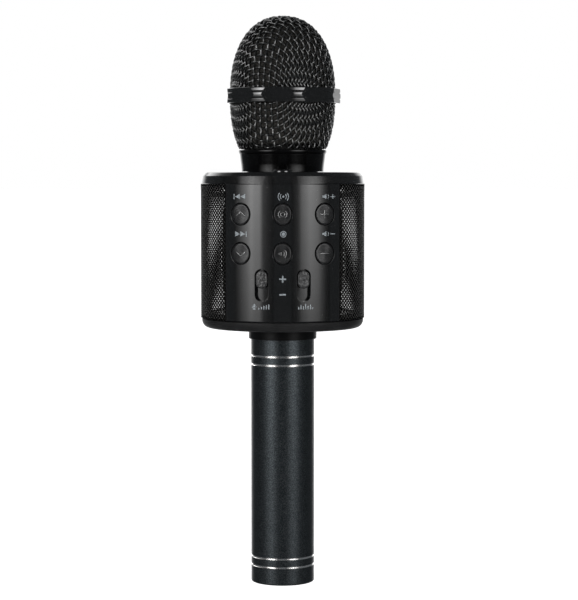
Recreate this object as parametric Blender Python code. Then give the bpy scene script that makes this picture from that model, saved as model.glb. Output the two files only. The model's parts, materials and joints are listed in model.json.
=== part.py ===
"""A hand-held karaoke microphone: a woven-wire head, a drum-shaped speaker housing with push keys
and two sliders, and an aluminium handle that holds the battery.

Metres, +Z up. The microphone stands on its handle end: the origin is the middle of that end, the
head is at the top and the control panel faces -Y. Azimuths are counted from -Y towards +X.
"""

import math

import bmesh
import bpy
from mathutils import Matrix, Vector

MM = 0.001
GAP = 0.3 * MM  # play left between two pieces that touch on the real object

# Handle
HANDLE_RADIUS = 14.0 * MM
HANDLE_WALL = 1.6 * MM
HANDLE_TOP = 115.0 * MM
HANDLE_END_ROUND = 0.9 * MM
BRIGHT_GROOVES = [z * MM for z in (7.9, 11.7, 97.0, 100.8)]
GROOVE_WIDTH = 0.8 * MM
GROOVE_DEPTH = 0.3 * MM
BATTERY_RADIUS = 9.2 * MM
BATTERY_BOTTOM = 22.0 * MM
BATTERY_TOP = 87.0 * MM

SOCKET_RADIUS = 15.0 * MM
SOCKET_BOTTOM = 108.2 * MM

# Speaker housing
BODY_RADIUS = 36.1 * MM
BASE_RADIUS = 35.6 * MM
BASE_ROUND = 3.4 * MM
BASE_BOTTOM = 113.2 * MM
BASE_SEAM = 117.3 * MM
PANEL_BOTTOM = 117.7 * MM
PANEL_TOP = 176.4 * MM
COVER_RADIUS = 35.8 * MM
COVER_SEAM = 176.8 * MM
COVER_SHOULDER = 179.3 * MM
COVER_TOP = 181.5 * MM
PANEL_WALL = 2.0 * MM
GRILLE_WALL = 0.8 * MM
FRONT_PANEL_EDGE = 42.6  # degrees each side of the front
REAR_PANEL_EDGE = 24.0  # degrees each side of the back
JOINT_GAP = 0.48  # degrees, GAP measured round the housing
LIP_OUTER = 33.7 * MM
LIP_INNER = 32.2 * MM
INSIDE_RADIUS = 31.9 * MM

# Controls
KEY_COLUMN = 17.9 * MM
KEY_ROWS = (163.6 * MM, 146.9 * MM)
KEY_HALF_WIDTH = 3.8 * MM
KEY_HALF_HEIGHT = 4.5 * MM
KEY_HOLE_MARGIN = 0.35 * MM
KEY_FLANGE_MARGIN = 1.05 * MM
KEY_PROUD = 0.8 * MM
KEY_STEM_RADIUS = 1.5 * MM
KEY_STEM_END = 25.6 * MM
SLIDER_COLUMN = 9.0 * MM
SLIDER_KNOB_Z = 135.9 * MM
SLIDER_HALF_WIDTH = 2.5 * MM
SLIDER_HALF_HEIGHT = 3.85 * MM
SLOT_Z = 133.4 * MM
SLOT_HALF_WIDTH = 2.85 * MM
SLOT_HALF_HEIGHT = 6.9 * MM
SLIDER_SHIELD_HALF_WIDTH = 3.5 * MM
SLIDER_SHIELD_HALF_HEIGHT = 10.0 * MM
BOARD_FRONT = 21.6 * MM
BOARD_THICKNESS = 1.6 * MM
BOARD_BOTTOM = 121.0 * MM
BOARD_TOP = 169.8 * MM
SWITCH_HALF = 2.6 * MM
SWITCH_HEIGHT = 2.4 * MM
PLUNGER_RADIUS = 1.5 * MM
PLUNGER_HEIGHT = 0.7 * MM
POWER_KEY_Y = -27.0 * MM
POWER_KEY_RADIUS = 4.2 * MM
POWER_KEY_PROUD = 1.4 * MM
REAR_BOARD_FACE = 27.6 * MM
REAR_KEY_X = 6.5 * MM
REAR_KEY_Z = 163.0 * MM
REAR_KEY_RADIUS = 3.0 * MM
CHARGE_Z = 151.0 * MM
JACK_Z = 141.0 * MM
CARD_Z = 131.0 * MM

# Speakers, one facing each side
SPEAKER_Z = 147.3 * MM
BAFFLE_INNER = 22.5 * MM
BAFFLE_OUTER = 24.5 * MM
SPEAKER_HOLE = 17.4 * MM

# Head
HEAD_CENTRE = 214.8 * MM
HEAD_RADIUS = 23.3 * MM
HEAD_HALF_HEIGHT = 35.3 * MM
HEAD_WALL = 0.9 * MM
HEAD_BOTTOM = 191.6 * MM
UPPER_POWER = 2.28  # exponent of the superellipse that the upper basket is drawn to
LOWER_POWER = 2.4
FOAM_WALL = 2.4 * MM
BAND_HALF_HEIGHT = 3.2 * MM
BAND_RIDGE = 25.5 * MM
BAND_EDGE = 25.05 * MM
BAND_FLAT = 24.65 * MM  # from the axis to each of the flats
BAND_FLATS = 9
BAND_TURN = -5.5  # degrees, the azimuth of the first flat's middle
COLLAR_FOOT = 181.8 * MM
COLLAR_TOP = 191.3 * MM

LARGE = 28  # sides of a large round piece
MIDDLE = 24  # sides of a round piece inside a large one
SMALL = 16  # sides of a small round piece


# ---------------------------------------------------------------- tools


def clear_scene():
    for obj in list(bpy.data.objects):
        bpy.data.objects.remove(obj)


def make_material(name, colour, roughness, metallic=0.0):
    material = bpy.data.materials.new(name)
    material.use_nodes = True
    shader = material.node_tree.nodes["Principled BSDF"]
    shader.inputs["Base Color"].default_value = (*colour, 1.0)
    shader.inputs["Roughness"].default_value = roughness
    shader.inputs["Metallic"].default_value = metallic
    return material


def finish_mesh(name, bm, material, origin=(0, 0, 0)):
    """Turns world-space bmesh geometry into an object whose own origin is at the given point."""
    bmesh.ops.recalc_face_normals(bm, faces=bm.faces)
    mesh = bpy.data.meshes.new(name)
    bm.to_mesh(mesh)
    bm.free()
    mesh.transform(Matrix.Translation(-Vector(origin)))
    mesh.shade_smooth()
    mesh.set_sharp_from_angle(angle=math.radians(35))
    if material:
        mesh.materials.append(material)
    obj = bpy.data.objects.new(name, mesh)
    obj.location = origin
    bpy.context.scene.collection.objects.link(obj)
    return obj


def bridge(bm, first, second):
    """Faces between two rings of vertices; a ring of one vertex is a point."""
    count = max(len(first), len(second))
    for i in range(count):
        j = (i + 1) % count
        corners = [first[i % len(first)], first[j % len(first)]]
        corners += [second[j % len(second)], second[i % len(second)]]
        bm.faces.new(list(dict.fromkeys(corners)))


def turned(name, profile, material, sides=LARGE, origin=(0, 0, 0), rotation=(0, 0, 0)):
    """A solid of revolution. The profile is a list of (radius, height); where it starts and ends on
    the axis the solid is closed there, and otherwise it is a closed loop round a hole."""
    bm = bmesh.new()
    rings = []
    for radius, height in profile:
        if radius == 0:
            rings.append([bm.verts.new((0, 0, height))])
            continue
        angles = [math.tau * i / sides for i in range(sides)]
        points = [(radius * math.cos(a), radius * math.sin(a), height) for a in angles]
        rings.append([bm.verts.new(p) for p in points])
    if len(rings[0]) > 1:
        rings.append(rings[0])
    for first, second in zip(rings, rings[1:]):
        bridge(bm, first, second)
    obj = finish_mesh(name, bm, material)
    obj.location = origin
    obj.rotation_euler = rotation
    return obj


def box(name, low, high, material):
    bm = bmesh.new()
    bmesh.ops.create_cube(bm, size=1.0)
    low, high = Vector(low), Vector(high)
    bmesh.ops.scale(bm, verts=bm.verts, vec=high - low)
    bmesh.ops.translate(bm, verts=bm.verts, vec=(low + high) / 2)
    return finish_mesh(name, bm, material)


def outline(half_width, round_height, straight=0.0, sides=SMALL):
    """(x, z) points of an ellipse cut in two across its height and pulled apart by the straight part."""
    points = []
    for i in range(sides):
        angle = math.tau * (i + 0.5) / sides
        rise = math.copysign(straight, math.sin(angle))
        points.append((half_width * math.cos(angle), round_height * math.sin(angle) + rise))
    return points


def on_cylinder(radius):
    return lambda x: math.sqrt(radius * radius - x * x)


def on_plane(distance):
    return lambda x: distance


def lofted(name, layers, centre, material, facing=-1):
    """A piece built up along Y from layers of (outline, depth). Each outline is centred on
    centre = (x, z), and depth(x) says how far towards its face each point lies."""
    centre_x, centre_z = centre
    bm = bmesh.new()
    rings = []
    for points, depth in layers:
        placed = [(centre_x + x, facing * depth(centre_x + x), centre_z + z) for x, z in points]
        rings.append([bm.verts.new(p) for p in placed])
    for first, second in zip(rings, rings[1:]):
        bridge(bm, first, second)
    for end in (rings[0], rings[-1]):
        if len(end) > 1:
            bm.faces.new(end)
    return finish_mesh(name, bm, material, origin=(centre_x, facing * BODY_RADIUS, centre_z))


def around(azimuth, radius, height):
    angle = math.radians(azimuth)
    return Vector((radius * math.sin(angle), -radius * math.cos(angle), height))


def curved_panel(name, edges, radii, heights, material, steps=12):
    """A piece of a cylinder's wall between two azimuths, two radii and two heights."""
    bm = bmesh.new()
    sections = []
    for i in range(steps + 1):
        azimuth = edges[0] + (edges[1] - edges[0]) * i / steps
        corners = [(radii[1], heights[0]), (radii[1], heights[1])]
        corners += [(radii[0], heights[1]), (radii[0], heights[0])]
        sections.append([bm.verts.new(around(azimuth, r, z)) for r, z in corners])
    for first, second in zip(sections, sections[1:]):
        bridge(bm, first, second)
    bm.faces.new(sections[0])
    bm.faces.new(sections[-1])
    return finish_mesh(name, bm, material)


def helper(obj):
    """Marks an object as a shape that only cuts or joins others."""
    obj.hide_render = True
    obj.display_type = "WIRE"
    return obj


def combine(target, other, operation="DIFFERENCE"):
    modifier = target.modifiers.new(f"{operation.lower()}_{other.name}", "BOOLEAN")
    modifier.operation = operation
    modifier.object = other


def smooth_route(corners, steps):
    """Points on a Catmull-Rom curve through the corners."""
    corners = [Vector(c) for c in corners]
    ends = [2 * corners[0] - corners[1]] + corners + [2 * corners[-1] - corners[-2]]
    points = []
    for a, b, c, d in zip(ends, ends[1:], ends[2:], ends[3:]):
        for i in range(steps):
            t = i / steps
            bend = 2 * b + (c - a) * t + (2 * a - 5 * b + 4 * c - d) * t**2
            points.append((bend + (3 * b - a - 3 * c + d) * t**3) / 2)
    points.append(corners[-1])
    return points


def lead(name, corners, radius, material, steps=4):
    """An insulated lead along a smooth route."""
    curve = bpy.data.curves.new(name, "CURVE")
    curve.dimensions = "3D"
    curve.bevel_depth = radius
    curve.bevel_resolution = 2
    curve.use_fill_caps = True
    points = smooth_route(corners, steps)
    spline = curve.splines.new("POLY")
    spline.points.add(len(points) - 1)
    for slot, point in zip(spline.points, points):
        slot.co = (*point, 1.0)
    curve.materials.append(material)
    obj = bpy.data.objects.new(name, curve)
    bpy.context.scene.collection.objects.link(obj)
    return obj


# ---------------------------------------------------------------- handle


def make_handle(mats):
    inner = HANDLE_RADIUS - HANDLE_WALL
    low = HANDLE_END_ROUND
    profile = [(inner, 0), (HANDLE_RADIUS - low, 0)]
    profile += [(HANDLE_RADIUS - 0.3 * low, 0.3 * low), (HANDLE_RADIUS, low)]
    for z in BRIGHT_GROOVES:
        profile.append((HANDLE_RADIUS, z - GROOVE_WIDTH / 2))
        profile.append((HANDLE_RADIUS - GROOVE_DEPTH, z))
        profile.append((HANDLE_RADIUS, z + GROOVE_WIDTH / 2))
    profile += [(HANDLE_RADIUS, HANDLE_TOP), (inner, HANDLE_TOP)]
    turned("handle_tube", profile, mats["black_aluminium"])

    plug_radius = inner - GAP
    plug_top = 6.0 * MM
    post_radius = 6.0 * MM
    profile = [(0, 0), (plug_radius, 0), (plug_radius, plug_top), (post_radius, plug_top)]
    profile += [(post_radius, BATTERY_BOTTOM - GAP), (0, BATTERY_BOTTOM - GAP)]
    turned("handle_end_plug", profile, mats["satin_plastic"], MIDDLE)

    nub_radius, nub_height = 3.0 * MM, 1.4 * MM
    profile = [(0, BATTERY_BOTTOM), (BATTERY_RADIUS, BATTERY_BOTTOM), (BATTERY_RADIUS, BATTERY_TOP)]
    profile += [(nub_radius, BATTERY_TOP), (nub_radius, BATTERY_TOP + nub_height)]
    profile.append((0, BATTERY_TOP + nub_height))
    turned("battery_cell", profile, mats["battery_wrap"], sides=SMALL)

    sleeve = [(BATTERY_RADIUS + GAP, BATTERY_BOTTOM), (plug_radius, BATTERY_BOTTOM)]
    sleeve += [(plug_radius, BATTERY_TOP), (BATTERY_RADIUS + GAP, BATTERY_TOP)]
    turned("battery_sleeve", sleeve, mats["foam"], sides=SMALL)


def make_socket(mats, screw_holes):
    """The collar under the housing that the handle tube fits into, with its flange inside."""
    inner, throat, flange = HANDLE_RADIUS + GAP, 9.0 * MM, 22.0 * MM
    ledge = HANDLE_TOP + GAP
    flange_low, flange_high = 115.4 * MM, 117.2 * MM
    profile = [(SOCKET_RADIUS, SOCKET_BOTTOM), (SOCKET_RADIUS, flange_low), (flange, flange_low)]
    profile += [(flange, flange_high), (throat, flange_high), (throat, ledge)]
    profile += [(inner, ledge), (inner, SOCKET_BOTTOM)]
    socket = turned("handle_socket", profile, mats["satin_plastic"])
    combine(socket, screw_holes)


# ---------------------------------------------------------------- housing


def make_base_cover(mats, screw_holes):
    floor_top, lip_top = 115.1 * MM, 120.0 * MM
    hole = SOCKET_RADIUS + GAP
    profile = [(hole, BASE_BOTTOM)]
    for i in range(5):
        angle = math.pi / 2 * i / 4
        radius = BASE_RADIUS - BASE_ROUND * (1 - math.sin(angle))
        profile.append((radius, BASE_BOTTOM + BASE_ROUND * (1 - math.cos(angle))))
    profile += [(BASE_RADIUS, BASE_SEAM), (LIP_OUTER, BASE_SEAM), (LIP_OUTER, lip_top)]
    profile += [(LIP_INNER, lip_top), (LIP_INNER, floor_top), (hole, floor_top)]
    cover = turned("base_cover", profile, mats["satin_plastic"])
    combine(cover, screw_holes)


def make_top_cover(mats):
    underside, lip_bottom, hole = 179.0 * MM, 174.6 * MM, 16.1 * MM
    shoulder = COVER_RADIUS - 0.2 * MM
    profile = [(COVER_RADIUS, COVER_SEAM), (shoulder, COVER_SHOULDER), (35.0 * MM, 180.7 * MM)]
    profile += [(33.9 * MM, COVER_TOP), (hole, COVER_TOP), (hole, underside), (LIP_INNER, underside)]
    profile += [(LIP_INNER, lip_bottom), (LIP_OUTER, lip_bottom), (LIP_OUTER, COVER_SEAM)]
    cover = turned("top_cover", profile, mats["gloss_plastic"])
    hole_radius = POWER_KEY_RADIUS + GAP
    profile = [(0, 176.0 * MM), (hole_radius, 176.0 * MM), (hole_radius, 184.0 * MM), (0, 184.0 * MM)]
    cutter = turned("power_key_hole", profile, None, SMALL, origin=(0, POWER_KEY_Y, 0))
    combine(cover, helper(cutter))


def make_grilles(mats):
    start = FRONT_PANEL_EDGE + JOINT_GAP
    end = 180 - REAR_PANEL_EDGE - JOINT_GAP
    radii = (BODY_RADIUS - GRILLE_WALL, BODY_RADIUS)
    for name, edges in (("right", (start, end)), ("left", (-end, -start))):
        name = f"{name}_speaker_grille"
        curved_panel(name, edges, radii, (PANEL_BOTTOM, PANEL_TOP), mats["black_steel"], steps=12)


def panel_cutter(name, shapes, facing):
    """One helper that holds a prism along Y for each hole of a panel."""
    bm = bmesh.new()
    near, far = facing * 22.0 * MM, facing * 40.0 * MM
    for points, (centre_x, centre_z) in shapes:
        rings = []
        for y in (near, far):
            rings.append([bm.verts.new((centre_x + x, y, centre_z + z)) for x, z in points])
        bridge(bm, *rings)
        for ring in rings:
            bm.faces.new(ring)
    return helper(finish_mesh(name, bm, None))


def make_control_panel(mats):
    edges = (-FRONT_PANEL_EDGE, FRONT_PANEL_EDGE)
    radii = (BODY_RADIUS - PANEL_WALL, BODY_RADIUS)
    heights = (PANEL_BOTTOM, PANEL_TOP)
    panel = curved_panel("control_panel", edges, radii, heights, mats["gloss_plastic"])
    key_hole = outline(KEY_HALF_WIDTH + KEY_HOLE_MARGIN, KEY_HALF_HEIGHT + KEY_HOLE_MARGIN)
    straight = SLOT_HALF_HEIGHT - SLOT_HALF_WIDTH
    slot = outline(SLOT_HALF_WIDTH, SLOT_HALF_WIDTH, straight)
    holes = [(key_hole, (x, z)) for x in (-KEY_COLUMN, 0, KEY_COLUMN) for z in KEY_ROWS]
    holes += [(slot, (side * SLIDER_COLUMN, SLOT_Z)) for side in (-1, 1)]
    combine(panel, panel_cutter("control_panel_holes", holes, -1))


def make_rear_panel(mats):
    edges = (180 - REAR_PANEL_EDGE, 180 + REAR_PANEL_EDGE)
    radii = (BODY_RADIUS - PANEL_WALL, BODY_RADIUS)
    heights = (PANEL_BOTTOM, PANEL_TOP)
    panel = curved_panel("rear_panel", edges, radii, heights, mats["gloss_plastic"], steps=8)
    key_hole = outline(REAR_KEY_RADIUS + GAP, REAR_KEY_RADIUS + GAP)
    holes = [(key_hole, (side * REAR_KEY_X, REAR_KEY_Z)) for side in (-1, 1)]
    light_hole = outline(1.3 * MM, 1.3 * MM, sides=12)
    holes.append((light_hole, (0, REAR_KEY_Z)))
    holes.append((outline(4.5 * MM, 2.2 * MM), (0, CHARGE_Z)))
    holes.append((outline(3.6 * MM, 3.6 * MM), (0, JACK_Z)))
    holes.append((outline(7.2 * MM, 1.5 * MM), (0, CARD_Z)))
    combine(panel, panel_cutter("rear_panel_holes", holes, 1))


def make_chassis(mats, screw_holes):
    """The moulded frame inside: two round plates joined by the two speaker baffles."""
    low = 117.5 * MM
    plate, throat = 2.0 * MM, 8.0 * MM
    high = 170.5 * MM
    material = mats["satin_plastic"]
    profile = [(throat, low), (INSIDE_RADIUS, low), (INSIDE_RADIUS, low + plate), (throat, low + plate)]
    chassis = turned("speaker_chassis", profile, material, MIDDLE)
    profile = [(throat, high), (INSIDE_RADIUS, high)]
    profile += [(INSIDE_RADIUS, high + plate), (throat, high + plate)]
    combine(chassis, helper(turned("chassis_top_plate", profile, None, MIDDLE)), "UNION")
    for name, side in (("right", 1), ("left", -1)):
        xs = sorted((side * BAFFLE_INNER, side * BAFFLE_OUTER))
        half_depth, overlap = 19.6 * MM, plate / 2
        lower_corner = (xs[0], -half_depth, low + overlap)
        upper_corner = (xs[1], half_depth, high + overlap)
        baffle = box(f"chassis_{name}_baffle", lower_corner, upper_corner, None)
        combine(chassis, helper(baffle), "UNION")
    reach = 40.0 * MM
    profile = [(0, -reach), (SPEAKER_HOLE, -reach), (SPEAKER_HOLE, reach), (0, reach)]
    quarter = math.pi / 2
    hole = turned("speaker_holes", profile, None, 20, (0, 0, SPEAKER_Z), (0, quarter, 0))
    combine(chassis, helper(hole))
    combine(chassis, screw_holes)


def make_screws(mats):
    """Three screws through the base cover and the handle socket into the chassis. Returns the
    helper that makes their holes."""
    ring, count = 18.5 * MM, 3
    head_radius, shaft_radius = 2.6 * MM, 1.2 * MM
    head_low, head_high, tip = 113.4 * MM, 114.5 * MM, 121.0 * MM
    profile = [(0, head_low), (head_radius, head_low), (head_radius, head_high)]
    profile += [(shaft_radius, head_high), (shaft_radius, tip), (0, tip)]
    drilled = [(0, head_low - MM), (head_radius + GAP, head_low - MM)]
    drilled += [(head_radius + GAP, head_high + GAP), (shaft_radius + GAP, head_high + GAP)]
    drilled += [(shaft_radius + GAP, tip + MM), (0, tip + MM)]
    cutter = None
    for i in range(count):
        place = around(60 + 120 * i, ring, 0)
        turned(f"base_screw_{i + 1}", profile, mats["bright_steel"], 12, origin=place)
        hole = helper(turned(f"base_screw_hole_{i + 1}", drilled, None, 12, origin=place))
        if cutter is None:
            cutter = hole
            continue
        combine(cutter, hole, "UNION")
    return cutter


# ---------------------------------------------------------------- controls


def make_key(name, centre, material, sizes, proud, stem_end, facing=-1):
    """A push key: its cap follows the panel's curve, its flange sits behind the panel and its
    stem reaches towards the switch."""
    half_width, half_height, flange_margin = sizes
    top = BODY_RADIUS + proud
    edge = 0.35 * MM
    flange_front = BODY_RADIUS - PANEL_WALL - GAP
    flange_back = flange_front - 1.1 * MM
    cap = outline(half_width, half_height)
    cap_edge = outline(half_width - edge, half_height - edge)
    flange = outline(half_width + flange_margin, half_height + flange_margin)
    stem = outline(KEY_STEM_RADIUS, KEY_STEM_RADIUS)
    layers = [([(0, 0)], on_cylinder(top)), (cap_edge, on_cylinder(top))]
    layers += [(cap, on_cylinder(top - edge)), (cap, on_cylinder(flange_front))]
    layers += [(flange, on_cylinder(flange_front)), (flange, on_cylinder(flange_back))]
    layers += [(stem, on_cylinder(flange_back)), (stem, on_plane(stem_end))]
    return lofted(name, layers, centre, material, facing)


def make_switch(name, centre, board_face, material, facing=-1):
    """A small square switch on a board, with its round plunger."""
    square = [(SWITCH_HALF * x, SWITCH_HALF * z) for x, z in ((1, 1), (-1, 1), (-1, -1), (1, -1))]
    top = board_face + GAP + SWITCH_HEIGHT
    body = lofted(name, [(square, on_plane(board_face + GAP)), (square, on_plane(top))],
                  centre, material, facing)
    round_top = outline(PLUNGER_RADIUS, PLUNGER_RADIUS, sides=12)
    root = top - SWITCH_HEIGHT / 2
    layers = [(round_top, on_plane(root)), (round_top, on_plane(top + PLUNGER_HEIGHT))]
    plunger = lofted(f"{name}_plunger", layers, centre, material, facing)
    combine(body, helper(plunger), "UNION")


def make_front_keys(mats):
    keys = {
        "previous": (-KEY_COLUMN, KEY_ROWS[0]),
        "scan": (0, KEY_ROWS[0]),
        "volume_up": (KEY_COLUMN, KEY_ROWS[0]),
        "next": (-KEY_COLUMN, KEY_ROWS[1]),
        "record": (0, KEY_ROWS[1]),
        "volume_down": (KEY_COLUMN, KEY_ROWS[1]),
    }
    sizes = (KEY_HALF_WIDTH, KEY_HALF_HEIGHT, KEY_FLANGE_MARGIN)
    for name, centre in keys.items():
        make_key(f"{name}_key", centre, mats["key_plastic"], sizes, KEY_PROUD, KEY_STEM_END)
        make_switch(f"{name}_switch", centre, BOARD_FRONT, mats["switch_plastic"])


def make_slider(name, side, mats):
    """A slider knob with its curved dust shield and lever, and the fader that the lever works."""
    centre = (side * SLIDER_COLUMN, SLIDER_KNOB_Z)
    top = BODY_RADIUS + KEY_PROUD
    edge = 0.4 * MM
    shield_front = BODY_RADIUS - PANEL_WALL - GAP
    shield_back = shield_front - 0.7 * MM
    straight = SLIDER_HALF_HEIGHT - SLIDER_HALF_WIDTH
    knob = outline(SLIDER_HALF_WIDTH, SLIDER_HALF_WIDTH, straight)
    knob_edge = outline(SLIDER_HALF_WIDTH - edge, SLIDER_HALF_WIDTH - edge, straight)
    corner = 1.5 * MM
    shield = outline(SLIDER_SHIELD_HALF_WIDTH, corner, SLIDER_SHIELD_HALF_HEIGHT - corner)
    lever = outline(0.7 * MM, 0.7 * MM, 0.8 * MM)
    layers = [([(0, 0)], on_cylinder(top)), (knob_edge, on_cylinder(top))]
    layers += [(knob, on_cylinder(top - edge)), (knob, on_cylinder(shield_front))]
    layers += [(shield, on_cylinder(shield_front)), (shield, on_cylinder(shield_back))]
    layers += [(lever, on_cylinder(shield_back)), (lever, on_plane(24.0 * MM))]
    lofted(f"{name}_knob", layers, centre, mats["key_plastic"])

    half_width, face = 3.4 * MM, BOARD_FRONT + GAP + 4.4 * MM
    xs = (centre[0] - half_width, centre[0] + half_width)
    low = (xs[0], -face, 122.5 * MM)
    high = (xs[1], -BOARD_FRONT - GAP, 143.5 * MM)
    fader = box(f"{name}_fader", low, high, mats["bright_steel"])
    slot_half, slot_depth = 1.1 * MM, 3.2 * MM
    low = (centre[0] - slot_half, -face - MM, 128.4 * MM)
    high = (centre[0] + slot_half, -face + slot_depth, 138.3 * MM)
    combine(fader, helper(box(f"{name}_fader_slot", low, high, None)))


def make_power_key(mats):
    flange_top, flange_low, stem_low = 178.7 * MM, 177.7 * MM, 176.4 * MM
    radius, crown = POWER_KEY_RADIUS, COVER_TOP + POWER_KEY_PROUD
    profile = [(0, crown), (0.5 * radius, crown - 0.15 * MM), (0.85 * radius, crown - 0.6 * MM)]
    profile += [(radius, COVER_TOP), (radius, flange_top), (radius + MM, flange_top)]
    profile += [(radius + MM, flange_low), (KEY_STEM_RADIUS, flange_low)]
    profile += [(KEY_STEM_RADIUS, stem_low), (0, stem_low)]
    lowered = [(r, z - crown) for r, z in profile]
    turned("power_key", lowered, mats["gloss_plastic"], SMALL, origin=(0, POWER_KEY_Y, crown))

    seat, top = 172.8 * MM, 175.2 * MM
    low = (-SWITCH_HALF, POWER_KEY_Y - SWITCH_HALF, seat)
    high = (SWITCH_HALF, POWER_KEY_Y + SWITCH_HALF, top)
    switch = box("power_switch", low, high, mats["switch_plastic"])
    profile = [(0, seat + MM), (PLUNGER_RADIUS, seat + MM)]
    profile += [(PLUNGER_RADIUS, top + 0.6 * MM), (0, top + 0.6 * MM)]
    plunger = turned("power_switch_plunger", profile, None, 12, origin=(0, POWER_KEY_Y, 0))
    combine(switch, helper(plunger), "UNION")


def make_boards(mats):
    half, low, high = 22.0 * MM, BOARD_BOTTOM, BOARD_TOP
    back = -BOARD_FRONT + BOARD_THICKNESS
    box("control_board", (-half, -BOARD_FRONT, low), (half, back, high), mats["circuit_board"])
    half, front = 10.0 * MM, REAR_BOARD_FACE - BOARD_THICKNESS
    box("rear_board", (-half, front, low), (half, REAR_BOARD_FACE, high), mats["circuit_board"])


def socket_shell(name, centre_z, half_width, half_height, wall, material):
    """A sheet-metal socket that opens towards the back."""
    near, mouth, floor = REAR_BOARD_FACE + GAP, 33.2 * MM, REAR_BOARD_FACE + 1.2 * MM
    corner = 0.45 * half_height

    def ring(inset):
        reach = half_height - inset
        return outline(half_width - inset, corner, reach - corner, sides=12)

    layers = [(ring(0), on_plane(near)), (ring(0), on_plane(mouth))]
    layers += [(ring(wall), on_plane(mouth)), (ring(wall), on_plane(floor))]
    lofted(name, layers, (0, centre_z), material, facing=1)


def make_rear_controls(mats):
    sizes = (REAR_KEY_RADIUS, REAR_KEY_RADIUS, 0.9 * MM)
    for name, side in (("play", 1), ("mode", -1)):
        centre = (side * REAR_KEY_X, REAR_KEY_Z)
        key = f"{name}_key"
        make_key(key, centre, mats["key_plastic"], sizes, 0.8 * MM, 31.8 * MM, facing=1)
        make_switch(f"{name}_switch", centre, REAR_BOARD_FACE, mats["switch_plastic"], facing=1)
    socket_shell("charge_socket", CHARGE_Z, 3.8 * MM, 1.5 * MM, 0.35 * MM, mats["bright_steel"])
    socket_shell("card_socket", CARD_Z, 6.7 * MM, 1.1 * MM, 0.4 * MM, mats["bright_steel"])
    turn_to_back = (-math.pi / 2, 0, 0)
    near, mouth, floor = REAR_BOARD_FACE + GAP, 34.6 * MM, REAR_BOARD_FACE + 1.3 * MM
    profile = [(0, near), (3.2 * MM, near), (3.2 * MM, mouth), (1.8 * MM, mouth)]
    profile += [(1.8 * MM, floor), (0, floor)]
    jack_place = (0, 0, JACK_Z)
    turned("audio_jack", profile, mats["satin_plastic"], SMALL, jack_place, turn_to_back)
    near, face = REAR_BOARD_FACE + GAP, BODY_RADIUS - 0.1 * MM
    profile = [(0, near), (MM, near), (MM, face), (0, face + 0.15 * MM)]
    light_place = (0, 0, REAR_KEY_Z)
    turned("status_light", profile, mats["light_lens"], 12, light_place, turn_to_back)


# ---------------------------------------------------------------- speakers


def make_speaker(side_name, side, mats):
    """A 36 mm driver on its baffle: frame, magnet and cone, turned about X."""
    rotation = (0, side * math.pi / 2, 0)
    place = (0, 0, SPEAKER_Z)
    flange_back, flange_front = BAFFLE_OUTER + GAP, 26.0 * MM
    back = 14.5 * MM
    body, bore = SPEAKER_HOLE - GAP, 16.2 * MM
    profile = [(18.6 * MM, flange_front), (18.6 * MM, flange_back), (body, flange_back)]
    profile += [(body, 22.5 * MM), (10.0 * MM, 16.0 * MM), (10.0 * MM, back), (0, back)]
    inside = [(0, 17.2 * MM), (9.0 * MM, 17.2 * MM), (bore, 22.8 * MM), (bore, flange_front)]
    frame = f"{side_name}_speaker_frame"
    turned(frame, inside + profile, mats["black_steel"], 20, place, rotation)

    magnet = [(0, 8.5 * MM), (10.5 * MM, 8.5 * MM), (10.5 * MM, back - GAP), (0, back - GAP)]
    turned(f"{side_name}_speaker_magnet", magnet, mats["magnet"], 20, place, rotation)

    skin = 0.6 * MM
    front = [(0, 22.9 * MM), (3.4 * MM, 22.4 * MM), (5.0 * MM, 21.2 * MM), (11.8 * MM, 24.4 * MM)]
    front += [(13.8 * MM, 25.3 * MM), (15.8 * MM, 24.6 * MM)]
    behind = [(r, x - skin) for r, x in front]
    turned(f"{side_name}_speaker_cone", front + behind[::-1], mats["cone_paper"], 20, place, rotation)


# ---------------------------------------------------------------- head


def basket_point(angle, radius, height, power, direction):
    """A point of the superellipse that a basket is drawn to; angle 0 is the widest ring."""
    across = radius * math.cos(angle) ** (2 / power)
    return across, HEAD_CENTRE + direction * height * math.sin(angle) ** (2 / power)


def basket_radius(z, radius, height, power):
    """The superellipse's radius at a height."""
    share = abs(z - HEAD_CENTRE) / height
    return radius * (1 - share**power) ** (1 / power)


def make_upper_grille(mats):
    steps = 8
    outer, inner = [], []
    for i in range(steps):
        angle = math.pi / 2 * (i / steps) ** 0.9
        outer.append(basket_point(angle, HEAD_RADIUS, HEAD_HALF_HEIGHT, UPPER_POWER, 1))
        wall_radius, wall_height = HEAD_RADIUS - HEAD_WALL, HEAD_HALF_HEIGHT - HEAD_WALL
        inner.append(basket_point(angle, wall_radius, wall_height, UPPER_POWER, 1))
    outer[0] = (outer[0][0], HEAD_CENTRE + GAP / 2)
    inner[0] = (inner[0][0], HEAD_CENTRE + GAP / 2)
    outer.append((0, HEAD_CENTRE + HEAD_HALF_HEIGHT))
    inner.append((0, HEAD_CENTRE + HEAD_HALF_HEIGHT - HEAD_WALL))
    turned("upper_grille", inner[::-1] + outer, mats["black_steel"])


def make_lower_grille(mats):
    steps = 6
    top, bottom = HEAD_CENTRE - GAP / 2, HEAD_BOTTOM
    heights = [top + (bottom - top) * i / steps for i in range(steps + 1)]
    outer = [(basket_radius(z, HEAD_RADIUS, HEAD_HALF_HEIGHT, LOWER_POWER), z) for z in heights]
    inner = [(r - HEAD_WALL, z) for r, z in outer]
    turned("lower_grille", outer + inner[::-1], mats["black_steel"])


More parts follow.
